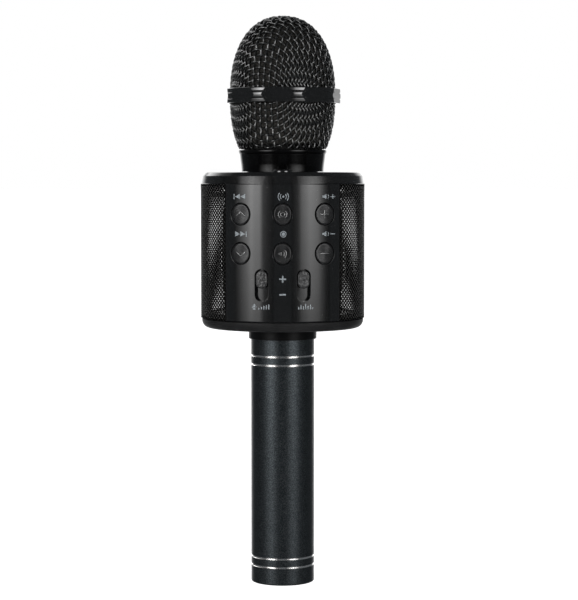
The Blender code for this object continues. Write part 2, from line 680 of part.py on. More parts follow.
def make_foam_liner(mats):
    steps = 7
    foam_radius, foam_height = HEAD_RADIUS - HEAD_WALL - GAP, HEAD_HALF_HEIGHT - HEAD_WALL - 0.6 * MM
    angles = [math.pi / 2 * i / steps for i in range(steps)]
    outer = [basket_point(a, foam_radius, foam_height, UPPER_POWER, 1) for a in angles]
    inner_radius, inner_height = foam_radius - FOAM_WALL, foam_height - FOAM_WALL
    inner = [basket_point(a, inner_radius, inner_height, UPPER_POWER, 1) for a in angles]
    outer.append((0, HEAD_CENTRE + foam_height))
    inner.append((0, HEAD_CENTRE + inner_height))
    bottom = 196.0 * MM
    skirt = []
    for z in (bottom, (bottom + HEAD_CENTRE) / 2):
        radius = basket_radius(z, HEAD_RADIUS, HEAD_HALF_HEIGHT, LOWER_POWER)
        skirt.append((radius - HEAD_WALL - 2 * GAP, z))
    inner_skirt = [(r - FOAM_WALL, z) for r, z in skirt]
    profile = inner[::-1] + inner_skirt[::-1] + skirt + outer
    turned("foam_liner", profile, mats["foam"], MIDDLE)


def make_band(mats):
    """The ring round the head: its section rises to a ridge, and flats are cut into it."""
    profile = [(-BAND_HALF_HEIGHT, BAND_EDGE - 0.2 * MM), (0.3 * MM - BAND_HALF_HEIGHT, BAND_EDGE)]
    profile += [(0, BAND_RIDGE), (BAND_HALF_HEIGHT - 0.3 * MM, BAND_EDGE)]
    profile.append((BAND_HALF_HEIGHT, BAND_EDGE - 0.2 * MM))
    bore = HEAD_RADIUS + GAP
    pitch = 360 / BAND_FLATS
    tip = math.degrees(math.acos(BAND_FLAT / BAND_RIDGE))
    side = math.degrees(math.acos(BAND_FLAT / BAND_EDGE))
    columns = []
    bm = bmesh.new()
    for flat in range(BAND_FLATS):
        middle = BAND_TURN + pitch * flat
        for offset in (-tip, -side, 0, side, tip, pitch / 2):
            cut = BAND_FLAT / math.cos(math.radians(offset))
            section = [(min(radius, cut), height) for height, radius in profile]
            section += [(bore, BAND_HALF_HEIGHT), (bore, -BAND_HALF_HEIGHT)]
            points = [around(middle + offset, r, HEAD_CENTRE + z) for r, z in section]
            columns.append([bm.verts.new(p) for p in points])
    for first, second in zip(columns, columns[1:] + columns[:1]):
        bridge(bm, first, second)
    return finish_mesh("grille_band", bm, mats["gloss_plastic"])


def make_thread_ring(mats):
    """The ring that screws the head into the collar."""
    flange, low, high, step = 17.8 * MM, 184.4 * MM, 193.5 * MM, 191.8 * MM
    profile = [(15.8 * MM, low), (17.0 * MM, low), (17.0 * MM, step), (flange, step)]
    profile += [(flange, high), (15.8 * MM, high)]
    turned("grille_thread_ring", profile, mats["black_steel"], MIDDLE)


def make_collar(mats):
    """The flared neck between the housing and the head."""
    bore, lead_hole, floor_low, floor_top = 17.3 * MM, 4.0 * MM, 181.4 * MM, 183.0 * MM
    spigot_outer, spigot_inner, spigot_low = 15.8 * MM, 14.2 * MM, 177.4 * MM
    profile = [(lead_hole, floor_top), (bore, floor_top), (bore, 190.6 * MM), (17.6 * MM, COLLAR_TOP)]
    profile += [(19.1 * MM, COLLAR_TOP), (19.4 * MM, 190.9 * MM), (19.4 * MM, 189.6 * MM)]
    profile += [(19.1 * MM, 188.7 * MM), (18.6 * MM, 186.8 * MM), (18.2 * MM, 184.6 * MM)]
    profile += [(18.1 * MM, COLLAR_FOOT), (spigot_outer, COLLAR_FOOT), (spigot_outer, spigot_low)]
    profile += [(spigot_inner, spigot_low), (spigot_inner, floor_low), (lead_hole, floor_low)]
    turned("neck_collar", profile, mats["gloss_plastic"])


def make_capsule(mats):
    bore = 2.2 * MM
    profile = [(bore, 183.3 * MM), (15.0 * MM, 183.3 * MM), (15.0 * MM, 184.8 * MM)]
    profile += [(7.0 * MM, 186.5 * MM), (7.0 * MM, 198.5 * MM), (11.5 * MM, 201.0 * MM)]
    profile += [(11.5 * MM, 208.0 * MM), (9.8 * MM, 208.0 * MM), (9.8 * MM, 202.5 * MM)]
    profile.append((bore, 202.5 * MM))
    turned("capsule_post", profile, mats["satin_plastic"], MIDDLE)
    cushion = [(7.3 * MM, 202.8 * MM), (9.5 * MM, 202.8 * MM), (9.5 * MM, 210.0 * MM)]
    cushion.append((7.3 * MM, 210.0 * MM))
    turned("capsule_cushion", cushion, mats["rubber"], SMALL)
    base, top = 203.4 * MM, 221.0 * MM
    profile = [(0, base), (7.0 * MM, base), (7.0 * MM, top - MM), (6.0 * MM, top), (0, top)]
    turned("mic_capsule", profile, mats["bright_steel"], SMALL)


def make_leads(mats):
    """The battery's and the capsule's leads, to the back of the control board."""
    board_back = -BOARD_FRONT + BOARD_THICKNESS + GAP
    tops = [(0, 0, 88.8), (0.6, 0.5, 96), (0.8, 0, 108), (0, -1, 118), (-1, -5, 125), (-2, -13, 129)]
    route = [tuple(v * MM for v in p) for p in tops] + [(-2.5 * MM, board_back, 130.0 * MM)]
    lead("battery_lead", route, 1.1 * MM, mats["red_lead"])
    tops = [(0, 0, 203.0), (0, 0, 192), (0.2, 0, 181), (1.0, 0.5, 172), (2.5, -4, 164), (3, -12, 159)]
    route = [tuple(v * MM for v in p) for p in tops] + [(3.0 * MM, board_back, 158.0 * MM)]
    lead("capsule_lead", route, 0.9 * MM, mats["black_lead"])


# ---------------------------------------------------------------- the whole


def main():
    clear_scene()
    mats = {
        "black_aluminium": make_material("black_aluminium", (0.03, 0.034, 0.037), 0.35, 0.8),
        "black_steel": make_material("black_steel", (0.02, 0.02, 0.021), 0.35, 0.6),
        "bright_steel": make_material("bright_steel", (0.62, 0.62, 0.63), 0.28, 1.0),
        "gloss_plastic": make_material("gloss_plastic", (0.012, 0.013, 0.014), 0.08),
        "satin_plastic": make_material("satin_plastic", (0.018, 0.018, 0.018), 0.35),
        "key_plastic": make_material("key_plastic", (0.03, 0.03, 0.031), 0.3),
        "switch_plastic": make_material("switch_plastic", (0.05, 0.05, 0.05), 0.5),
        "circuit_board": make_material("circuit_board", (0.02, 0.12, 0.05), 0.4),
        "battery_wrap": make_material("battery_wrap", (0.05, 0.2, 0.45), 0.35),
        "foam": make_material("foam", (0.015, 0.015, 0.015), 0.95),
        "rubber": make_material("rubber", (0.02, 0.02, 0.02), 0.8),
        "magnet": make_material("magnet", (0.1, 0.1, 0.1), 0.5, 0.6),
        "cone_paper": make_material("cone_paper", (0.02, 0.02, 0.02), 0.8),
        "light_lens": make_material("light_lens", (0.1, 0.3, 0.8), 0.2),
        "red_lead": make_material("red_lead", (0.5, 0.02, 0.02), 0.45),
        "black_lead": make_material("black_lead", (0.02, 0.02, 0.02), 0.45),
    }
    screw_holes = make_screws(mats)
    make_handle(mats)
    make_socket(mats, screw_holes)
    make_base_cover(mats, screw_holes)
    make_top_cover(mats)
    make_grilles(mats)
    make_control_panel(mats)
    make_rear_panel(mats)
    make_chassis(mats, screw_holes)
    make_front_keys(mats)
    make_slider("mic_volume", -1, mats)
    make_slider("remix", 1, mats)
    make_power_key(mats)
    make_boards(mats)
    make_rear_controls(mats)
    make_speaker("right", 1, mats)
    make_speaker("left", -1, mats)
    make_upper_grille(mats)
    make_lower_grille(mats)
    make_foam_liner(mats)
    make_band(mats)
    make_thread_ring(mats)
    make_collar(mats)
    make_capsule(mats)
    make_leads(mats)


main()
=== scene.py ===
"""The looks of the karaoke microphone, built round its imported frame. Metres, +Z up, front towards -Y.

Azimuths are counted from -Y towards +X. Every piece takes its place from the frame's boxes.
"""

import itertools
import json
import math
from collections import Counter

import bmesh
import bpy
import numpy as np
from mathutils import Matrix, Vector, noise
from mathutils.geometry import delaunay_2d_cdt


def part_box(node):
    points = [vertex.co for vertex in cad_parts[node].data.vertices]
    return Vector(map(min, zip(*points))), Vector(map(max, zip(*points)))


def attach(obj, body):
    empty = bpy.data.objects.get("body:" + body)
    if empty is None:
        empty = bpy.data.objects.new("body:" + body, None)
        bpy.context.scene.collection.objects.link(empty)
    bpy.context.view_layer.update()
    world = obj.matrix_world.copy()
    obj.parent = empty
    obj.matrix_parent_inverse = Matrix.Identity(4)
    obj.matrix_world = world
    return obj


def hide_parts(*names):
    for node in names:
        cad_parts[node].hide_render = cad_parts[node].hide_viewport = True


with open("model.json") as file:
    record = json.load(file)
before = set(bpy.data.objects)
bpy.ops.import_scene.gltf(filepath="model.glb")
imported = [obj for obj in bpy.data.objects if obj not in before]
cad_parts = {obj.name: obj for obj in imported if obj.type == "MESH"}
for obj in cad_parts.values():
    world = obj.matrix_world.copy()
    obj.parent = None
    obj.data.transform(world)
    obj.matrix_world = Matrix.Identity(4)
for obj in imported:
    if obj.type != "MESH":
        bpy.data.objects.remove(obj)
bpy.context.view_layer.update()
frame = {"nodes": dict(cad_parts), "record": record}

MM = 0.001
GAP = 0.3 * MM
NODES = frame["nodes"]


def low(node):
    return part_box(node)[0]


def high(node):
    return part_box(node)[1]


def middle(node):
    return (low(node) + high(node)) / 2


def axis(node):
    """The foot of the upright line through the middle of a node."""
    return (middle(node).x, middle(node).y, 0)


HOUSING_RADIUS = high("right_speaker_grille").x
BAND_CENTRE = (low("grille_band").z + high("grille_band").z) / 2


# ---------------- mesh tools


class Shape:
    """Points and faces gathered before they become one mesh. Each face carries a material's number."""

    def __init__(self):
        self.points = []
        self.faces = []
        self.marks = []

    def ring(self, points):
        first = len(self.points)
        self.points.extend(tuple(p) for p in points)
        return list(range(first, len(self.points)))

    def face(self, corners, mark=0):
        self.faces.append(tuple(corners))
        self.marks.append(mark)

    def bridge(self, first, second, mark=0):
        count = max(len(first), len(second))
        for i in range(count):
            j = (i + 1) % count
            corners = [first[i % len(first)], first[j % len(first)]]
            corners += [second[j % len(second)], second[i % len(second)]]
            self.face(dict.fromkeys(corners), mark)

    def tube(self, rings, mark=0, caps=True):
        for first, second in zip(rings, rings[1:]):
            self.bridge(first, second, mark)
        if caps:
            for end in (rings[0], rings[-1]):
                if len(end) > 2:
                    self.face(end, mark)


def add_object(name, data, place=(0, 0, 0)):
    obj = bpy.data.objects.new(name, data)
    obj.location = place
    bpy.context.scene.collection.objects.link(obj)
    return obj


def build(name, shape, materials, body, replaces=(), origin=(0, 0, 0), sharp=32, normals=None):
    """Makes the object of a shape, sets its shading, and ties it to its body."""
    origin = Vector(origin)
    points = np.array(shape.points, float) - np.array(origin)
    mesh = bpy.data.meshes.new(name)
    mesh.from_pydata(points.tolist(), [], [list(f) for f in shape.faces])
    for material in materials if isinstance(materials, (list, tuple)) else [materials]:
        mesh.materials.append(material)
    mesh.polygons.foreach_set("material_index", shape.marks)
    turn_outwards(mesh)
    mesh.shade_smooth()
    mesh.set_sharp_from_angle(angle=math.radians(sharp))
    obj = add_object(name, mesh, origin)
    if normals is not None:
        mesh.normals_split_custom_set_from_vertices(normals)
    elif sharp < 180:
        obj.modifiers.new("weighted_normals", "WEIGHTED_NORMAL").keep_sharp = True
    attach(obj, body)
    if replaces:
        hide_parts(*replaces)
    return obj


def turn_outwards(mesh):
    bm = bmesh.new()
    bm.from_mesh(mesh)
    bmesh.ops.recalc_face_normals(bm, faces=bm.faces)
    bm.to_mesh(mesh)
    bm.free()


def eased(profile, closed):
    """The profile with each corner that gives a third number rounded by about that radius."""
    count, steps = len(profile), 5
    points = []
    for i, corner in enumerate(profile):
        here = Vector(corner[:2])
        radius = corner[2] if len(corner) > 2 else 0
        if not radius or (not closed and i in (0, count - 1)):
            points.append(tuple(here))
            continue
        before = Vector(profile[i - 1][:2])
        after = Vector(profile[(i + 1) % count][:2])
        reach = min(radius, 0.48 * (before - here).length, 0.48 * (after - here).length)
        start, end = (here + (other - here).normalized() * reach for other in (before, after))
        for k in range(steps + 1):
            t = k / steps
            points.append(tuple((1 - t) ** 2 * start + 2 * t * (1 - t) * here + t * t * end))
    return points


def circle(sides):
    """(cosine, sine) pairs at equal steps round a circle."""
    turns = [math.tau * i / sides for i in range(sides)]
    return [(math.cos(a), math.sin(a)) for a in turns]


def lathe(shape, profile, sides, closed, mark_of=None, axis_point=(0, 0, 0)):
    """Turns a profile of (radius, height) about an upright axis."""
    spokes = [Vector((c, s, 0)) for c, s in circle(sides)]
    rings = []
    for radius, height in profile:
        base = Vector(axis_point) + Vector((0, 0, height))
        rings.append(shape.ring([base + radius * spoke for spoke in spokes] if radius else [base]))
    if closed:
        rings.append(rings[0])
        profile = [*profile, profile[0]]
    for first, second, a, b in zip(rings, rings[1:], profile, profile[1:]):
        spot = ((a[0] + b[0]) / 2, (a[1] + b[1]) / 2)
        shape.bridge(first, second, mark_of(spot) if mark_of else 0)


def turned(name, profile, materials, body, replaces=(), sides=160, mark_of=None,
           axis_point=(0, 0, 0), sharp=32):
    """A finely turned piece. A profile that doesn't start on the axis is a closed loop."""
    closed = profile[0][0] != 0
    shape = Shape()
    lathe(shape, eased(profile, closed), sides, closed, mark_of, axis_point)
    return build(name, shape, materials, body, replaces, axis_point, sharp)


def rounding(steps):
    """(inset, drop) pairs down a rounded edge of radius 1, at equal turns from its top to its side."""
    turns = [math.pi / 2 * k / steps for k in range(steps + 1)]
    return [(1 - math.sin(a), 1 - math.cos(a)) for a in turns]


def around(azimuth, radius, height):
    angle = math.radians(azimuth)
    return (radius * math.sin(angle), -radius * math.cos(angle), height)


def oval(half_width, round_height, straight=0.0, sides=64):
    """(x, z) points of an ellipse cut in two across its height and pulled apart by the straight part."""
    points = []
    for i in range(sides):
        angle = math.tau * (i + 0.5) / sides
        rise = math.copysign(straight, math.sin(angle))
        points.append((half_width * math.cos(angle), round_height * math.sin(angle) + rise))
    return points


def placed(outline, centre, radius, facing):
    """The outline's points, pushed along Y onto a cylinder of that radius."""
    points = []
    for x, z in outline:
        across = centre[0] + x
        points.append((across, facing * math.sqrt(radius * radius - across * across), centre[1] + z))
    return points


def on_plane(outline, centre, distance, facing):
    return [(centre[0] + x, facing * distance, centre[1] + z) for x, z in outline]


# ---------------- materials


def shader(name, colour, roughness, metallic=0.0, specular=0.5):
    material = bpy.data.materials.new(name)
    material.use_nodes = True
    principled = material.node_tree.nodes["Principled BSDF"]
    principled.inputs["Base Color"].default_value = (*colour, 1)
    principled.inputs["Roughness"].default_value = roughness
    principled.inputs["Metallic"].default_value = metallic
    principled.inputs["Specular IOR Level"].default_value = specular
    return material, material.node_tree, principled


def node(tree, kind, **settings):
    made = tree.nodes.new(kind)
    for key, value in settings.items():
        if key in made.inputs:
            made.inputs[key].default_value = value
        else:
            setattr(made, key, value)
    return made


def noise_node(tree, scale, detail=3.0, stretch=None):
    """A noise texture whose scale is in features for each metre."""
    place = tree.nodes.new("ShaderNodeTexCoord").outputs["Object"]
    texture = node(tree, "ShaderNodeTexNoise", Scale=scale, Detail=detail)
    if stretch:
        mapping = node(tree, "ShaderNodeMapping", Scale=stretch)
        tree.links.new(place, mapping.inputs["Vector"])
        place = mapping.outputs["Vector"]
    tree.links.new(place, texture.inputs["Vector"])
    return texture.outputs["Fac"]


def spread(tree, value, target, from_low, from_high, to_low, to_high):
    """Maps a value onto a range and links it to the target socket."""
    ends = {"From Min": from_low, "From Max": from_high, "To Min": to_low, "To Max": to_high}
    mapped = node(tree, "ShaderNodeMapRange", **ends)
    tree.links.new(value, mapped.inputs["Value"])
    tree.links.new(mapped.outputs["Result"], target)


def colour_ramp(tree, value, first, second, positions=(0.35, 0.65)):
    """Turns a value into a colour between two."""
    ramp = tree.nodes.new("ShaderNodeValToRGB")
    for element, colour, position in zip(ramp.color_ramp.elements, (first, second), positions):
        element.color = (*colour, 1)
        element.position = position
    tree.links.new(value, ramp.inputs["Fac"])
    return ramp.outputs["Color"]


def tint(tree, principled, value, *shades):
    tree.links.new(colour_ramp(tree, value, *shades), principled.inputs["Base Color"])


def bump(tree, principled, value, height):
    """Adds a bump of the given height in metres."""
    made = node(tree, "ShaderNodeBump", Distance=height)
    tree.links.new(value, made.inputs["Height"])
    tree.links.new(made.outputs["Normal"], principled.inputs["Normal"])


def surface(name, colour, roughness, metallic=0.0, specular=0.5, tone=None, wear=None, relief=None):
    """A material that varies at real scale. tone is (noise, two colours, where they start and end), wear
    is (noise, least and most roughness, where it starts) and relief is (noise, height). A noise is
    (features for each metre, detail, stretch)."""
    material, tree, principled = shader(name, colour, roughness, metallic, specular)
    made = {}

    def value(noise_settings):
        if noise_settings not in made:
            made[noise_settings] = noise_node(tree, *noise_settings)
        return made[noise_settings]

    if tone:
        tint(tree, principled, value(tone[0]), *tone[1:])
    if wear:
        start = wear[3] if len(wear) > 3 else 0.3
        spread(tree, value(wear[0]), principled.inputs["Roughness"], start, 0.7, wear[1], wear[2])
    if relief:
        bump(tree, principled, value(relief[0]), relief[1])
    return material


def gloss_plastic(name, colour, roughness, specular=0.5):
    """Polished black: a faint flow ripple from moulding, fine wipe marks and a few dust specks."""
    specks = ((1500, 1), colour, (0.12, 0.12, 0.115), (0.79, 0.83))
    wipes = ((900, 4, (1, 1, 0.25)), 0.7 * roughness, 1.45 * roughness, 0.35)
    return surface(name, colour, roughness, 0.0, specular, specks, wipes, ((110, 2), 0.012 * MM))


def satin_plastic(name, colour, roughness, specular=0.5):
    """Moulded black with a fine spark-eroded grain."""
    patches = ((120, 3), colour, tuple(1.6 * c for c in colour))
    grain = (3500, 3)
    wear = (grain, roughness - 0.06, roughness + 0.08)
    return surface(name, colour, roughness, 0.0, specular, patches, wear, (grain, 0.012 * MM))


def anodised():
    """Blasted and anodised aluminium: blue-grey, with a fine sparkle."""
    colour, brighter, sparkle = (0.02, 0.024, 0.0265), (0.075, 0.084, 0.09), (2600, 3)
    tone, wear = (sparkle, colour, brighter, (0.42, 0.74)), ((260, 3), 0.3, 0.37)
    return surface("anodised_black", colour, 0.33, 0.9, 0.5, tone, wear, (sparkle, 0.03 * MM))


def bright_cut():
    """Freshly turned aluminium with tool marks running round it."""
    marks, roughness = (600, 2, (1, 1, 40)), 0.14
    wear, relief = (marks, roughness - 0.05, roughness + 0.08), (marks, 0.006 * MM)
    return surface("bright_cut_metal", (0.86, 0.85, 0.84), roughness, 1.0, wear=wear, relief=relief)


def lacquer(name, colour, brighter, roughness, specular, coat, least, most, relief):
    """Black paint that is uneven where it has pooled."""
    tone, wear = (coat, colour, brighter), (coat, least, most)
    return surface(name, colour, roughness, 0.0, specular, tone, wear, relief)


def hammered():
    """Slider tops with a coarse hammered texture."""
    colour, brighter, dents = (0.009, 0.009, 0.0093), (0.0198, 0.0198, 0.02046), (900, 2)
    tone, wear = (dents, colour, brighter), ((2500, 2), 0.24, 0.4)
    return surface("hammered_black", colour, 0.3, 0.0, 0.4, tone, wear, (dents, 0.4 * MM))


def object_place(tree):
    return tree.nodes.new("ShaderNodeTexCoord").outputs["Object"]


def brushed_key():
    """Dark keys with a circular brushed top: fine rings about the middle of each key."""
    colour, brighter = (0.006, 0.006, 0.0063), (0.022, 0.022, 0.0225)
    material, tree, principled = shader("brushed_key", colour, 0.34, 0.5)
    flat = node(tree, "ShaderNodeVectorMath", operation="MULTIPLY")
    flat.inputs[1].default_value = (1, 0, 1)
    length = node(tree, "ShaderNodeVectorMath", operation="LENGTH")
    tree.links.new(object_place(tree), flat.inputs[0])
    tree.links.new(flat.outputs["Vector"], length.inputs[0])
    rings = node(tree, "ShaderNodeTexNoise", noise_dimensions="1D", Scale=14000, Detail=2)
    tree.links.new(length.outputs["Value"], rings.inputs["W"])
    tint(tree, principled, rings.outputs["Fac"], colour, brighter)
    spread(tree, rings.outputs["Fac"], principled.inputs["Roughness"], 0.3, 0.7, 0.2, 0.4)
    bump(tree, principled, rings.outputs["Fac"], 0.006 * MM)
    principled.inputs["Anisotropic"].default_value = 0.8
    tangent = node(tree, "ShaderNodeTangent", direction_type="RADIAL", axis="Y")
    tree.links.new(tangent.outputs["Tangent"], principled.inputs["Tangent"])
    return material


def print_ink():
    """Pad-printed pale grey ink, a little uneven."""
    tone = ((2500, 3), (0.11, 0.125, 0.135), (0.2, 0.22, 0.235))
    return surface("print_ink", (0.3, 0.33, 0.35), 0.5, tone=tone)


def foam():
    material, tree, principled = shader("open_cell_foam", (0.006, 0.006, 0.006), 0.95, 0.0, 0.2)
    cells = node(tree, "ShaderNodeTexVoronoi", Scale=1600)
    tree.links.new(object_place(tree), cells.inputs["Vector"])
    # The sunken middle of each cell is tinted darker than its rim: painted shade in the pores, on the foam's
    # own dark grey.
    dark, light = (0.003, 0.0028, 0.0025), (0.019, 0.018, 0.016)
    tint(tree, principled, cells.outputs["Distance"], dark, light, (0.1, 0.6))
    bump(tree, principled, cells.outputs["Distance"], 0.15 * MM)
    return material


def plain_metal(name, colour, roughness, metallic=1.0):
    wear = ((1400, 3), 0.7 * roughness, 1.4 * roughness)
    return surface(name, colour, roughness, metallic, wear=wear, relief=((900, 2), 0.004 * MM))


def moulded(name, colour, roughness=0.5, specular=0.5):
    grain = (2200, 3)
    dark, light = (tuple(share * c for c in colour) for share in (0.75, 1.25))
    tone, wear = (grain, dark, light), (grain, 0.85 * roughness, min(1, 1.15 * roughness))
    return surface(name, colour, roughness, 0.0, specular, tone, wear, (grain, 0.02 * MM))


def circuit_board():
    """Green solder mask with tinned tracks under it."""
    material, tree, principled = shader("solder_mask", (0.01, 0.08, 0.03), 0.32)
    colours = {"Color1": (0.01, 0.07, 0.03, 1), "Color2": (0.012, 0.09, 0.035, 1)}
    tracks = node(tree, "ShaderNodeTexBrick", Scale=260, Mortar=(0.03, 0.16, 0.07, 1), **colours)
    tree.links.new(object_place(tree), tracks.inputs["Vector"])
    tree.links.new(tracks.outputs["Color"], principled.inputs["Base Color"])
    bump(tree, principled, tracks.outputs["Fac"], 0.03 * MM)
    return material


def glowing_lens():
    material = surface("status_lens", (0.1, 0.25, 0.6), 0.12, wear=((900, 2), 0.08, 0.18))
    material.node_tree.nodes["Principled BSDF"].inputs["Coat Weight"].default_value = 0.5
    return material


def coated_wire():
    """Wire in glossy black lacquer, uneven where it has pooled between the crossings."""
    colour, brighter, relief = (0.003,) * 3, (0.008,) * 3, ((2600, 2), 0.012 * MM)
    return lacquer("black_wire", colour, brighter, 0.15, 1.0, (1500, 3), 0.1, 0.22, relief)


def perforated_steel():
    """Punched sheet in black lacquer."""
    colour, brighter, relief = (0.016, 0.0156, 0.0148), (0.022, 0.0214, 0.0204), ((2000, 2), 0.004 * MM)
    return lacquer("perforated_steel", colour, brighter, 0.3, 0.35, (1200, 3), 0.26, 0.34, relief)


MATERIALS = {
    "black_aluminium": anodised(),
    "bright_cut": bright_cut(),
    "gloss_plastic": gloss_plastic("piano_black", (0.0045, 0.0047, 0.0049), 0.08),
    "satin_plastic": satin_plastic("satin_black", (0.006, 0.006, 0.0062), 0.36),
    "base_plastic": satin_plastic("satin_base", (0.007, 0.007, 0.0072), 0.5, 0.12),
    "socket_plastic": satin_plastic("satin_socket", (0.0015, 0.0015, 0.0016), 0.34, 0.1),
    # A darker, far less shiny copy of the piano black for the neck: painted shade, as the light barely
    # reaches it.
    "neck_plastic": gloss_plastic("neck_black", (0.0015, 0.0015, 0.0016), 0.1, 0.14),
    "thread_plating": moulded("blackened_thread", (0.003,) * 3, 0.6, 0.15),
    "cover_plastic": gloss_plastic("semi_gloss_black", (0.004, 0.0041, 0.0042), 0.14),
    "key_edge": plain_metal("polished_symbol", (0.2,) * 3, 0.2, 0.8),
    "wire": coated_wire(),
    "black_steel": perforated_steel(),
    # Near black without shine, for the grille's hole slopes, hole walls, back and border cells: painted
    # shade.
    "painted_hole_shade": moulded("painted_hole_shade", (0.0015,) * 3, 0.85, 0.0),
    "key_plastic": brushed_key(),
    "slider_plastic": hammered(),
    "ink": print_ink(),
    "foam": foam(),
    "bright_steel": plain_metal("tinned_steel", (0.6,) * 3, 0.25),
    "magnet": plain_metal("ferrite", (0.06,) * 3, 0.5, 0.6),
    "rubber": moulded("black_rubber", (0.012,) * 3, 0.8, 0.3),
    "switch_plastic": moulded("switch_moulding", (0.03,) * 3, 0.45),
    "cone_paper": moulded("treated_paper", (0.012,) * 3, 0.85, 0.3),
    "battery_wrap": moulded("shrink_wrap", (0.03, 0.14, 0.36), 0.3),
    "red_lead": moulded("red_insulation", (0.35, 0.01, 0.01), 0.4),
    "black_lead": moulded("black_insulation", (0.01,) * 3, 0.4),
    "circuit_board": circuit_board(),
    "light_lens": glowing_lens(),
}


def dress_hidden_parts():
    """Gives every node that stays in view its slot's procedural material."""
    for entry in frame["record"]["subparts"]:
        obj = NODES[entry["node"]]
        plated = entry["node"] == "grille_thread_ring"
        material = MATERIALS["thread_plating" if plated else entry["material_slot"]]
        if obj.data.materials:
            obj.material_slots[0].material = material
        else:
            obj.data.materials.append(material)


# ---------------- handle


def make_handle():
    bottom, top = low("handle_tube").z, high("handle_tube").z
    radius = high("handle_tube").x
    bore = high("handle_end_plug").x + GAP
    groove_half, groove_depth, end_round = 0.42 * MM, 0.3 * MM, 0.9 * MM
    ring_pair_inset, ring_spacing = 7.9 * MM, 3.8 * MM
    upper_pair = 100.8 * MM
    grooves = [bottom + ring_pair_inset, bottom + ring_pair_inset + ring_spacing]
    grooves += [upper_pair - ring_spacing, upper_pair]
    profile = [(bore, bottom, 0.2 * MM), (radius, bottom, end_round)]
    for z in grooves:
        for k in range(9):
            t = k / 4 - 1
            profile.append((radius - groove_depth * (1 - t * t), z + groove_half * t))
    profile += [(radius, top), (bore, top)]

    def mark(point):
        in_groove = any(abs(point[1] - z) < groove_half for z in grooves)
        return 1 if in_groove and point[0] > radius - 1.01 * groove_depth else 0

    materials = [MATERIALS["black_aluminium"], MATERIALS["bright_cut"]]
    turned("handle_shell", profile, materials, "housing", ["handle_tube"], mark_of=mark)


def make_plug():
    plug_top, plug_radius = high("handle_end_plug").z, high("handle_end_plug").x
    shelf, post = 6.0 * MM, 6.0 * MM
    dish, dish_radius, rim_radius = 0.25 * MM, 9.0 * MM, 9.4 * MM
    profile = [(0, dish), (dish_radius, dish, 0.2 * MM), (rim_radius, 0, 0.2 * MM)]
    profile += [(plug_radius, 0, 0.3 * MM), (plug_radius, shelf, 0.3 * MM), (post, shelf)]
    profile += [(post, plug_top), (0, plug_top)]
    plug = MATERIALS["satin_plastic"]
    turned("handle_plug", profile, plug, "housing", ["handle_end_plug"], 96)


def make_socket():
    bottom, top = low("handle_socket").z, high("handle_socket").z
    flange, outer = high("handle_socket").x, 15.0 * MM
    bore, throat, flange_low = high("handle_tube").x + GAP, 9.0 * MM, 115.4 * MM
    ledge = high("handle_tube").z + GAP
    profile = [(bore, bottom, 0.2 * MM), (outer, bottom, 0.35 * MM), (outer, flange_low)]
    profile += [(flange, flange_low), (flange, top), (throat, top), (throat, ledge), (bore, ledge)]
    looks = MATERIALS["socket_plastic"]
    turned("handle_ring", profile, looks, "housing", ["handle_socket"], 128)


# ---------------- housing covers


def cut(obj, cutter):
    """Cuts one object with another that never shows."""
    modifier = obj.modifiers.new(f"cut_{cutter.name}", "BOOLEAN")
    modifier.object = cutter
    modifier.solver = "EXACT"
    obj.modifiers.move(obj.modifiers.find("weighted_normals"), len(obj.modifiers) - 1)
    bpy.context.view_layer.update()
    graph = bpy.context.evaluated_depsgraph_get()
    made = bpy.data.meshes.new_from_object(obj.evaluated_get(graph), depsgraph=graph)
    obj.modifiers.clear()
    obj.data = made
    bpy.data.objects.remove(cutter)


def cutter_from(name, shape):
    mesh = bpy.data.meshes.new(name)
    mesh.from_pydata(shape.points, [], [list(f) for f in shape.faces])
    turn_outwards(mesh)
    obj = add_object(name, mesh)
    obj.hide_render = True
    return obj


SCREWS = [f"base_screw_{i + 1}" for i in range(3)]
SCREW_HEAD_RADIUS = high("base_screw_1").x - middle("base_screw_1").x
LIP_OUTER, LIP_INNER = 33.7 * MM, 32.2 * MM  # both covers slip inside the panels and grilles
CHAMFER = 0.25 * MM
POWER_KEY_RADIUS = 4.2 * MM


def make_base_cover():
    bottom, top = low("base_cover").z, high("base_cover").z
    radius = high("base_cover").x
    hole, seam, floor_top = 15.3 * MM, 117.3 * MM, 115.1 * MM
    edge, head_room, head_depth, shaft = 3.4 * MM, SCREW_HEAD_RADIUS + GAP, 1.6 * MM, 1.5 * MM
    profile = [(hole, bottom, 0.3 * MM)]
    profile += [(radius - edge * inset, bottom + edge * drop) for inset, drop in rounding(12)]
    profile += [(radius, seam, 0.25 * MM), (LIP_OUTER, seam), (LIP_OUTER, top), (LIP_INNER, top)]
    profile += [(LIP_INNER, floor_top), (hole, floor_top)]
    looks = MATERIALS["base_plastic"]
    cover = turned("base_shell", profile, looks, "housing", ["base_cover"])
    holes = Shape()
    well = [(0, bottom - MM), (head_room + CHAMFER, bottom - MM), (head_room + CHAMFER, bottom)]
    well += [(head_room, bottom + CHAMFER), (head_room, bottom + head_depth), (shaft, bottom + head_depth)]
    well += [(shaft, top + MM), (0, top + MM)]
    for screw in SCREWS:
        lathe(holes, well, 48, False, axis_point=axis(screw))
    cut(cover, cutter_from("base_wells", holes))


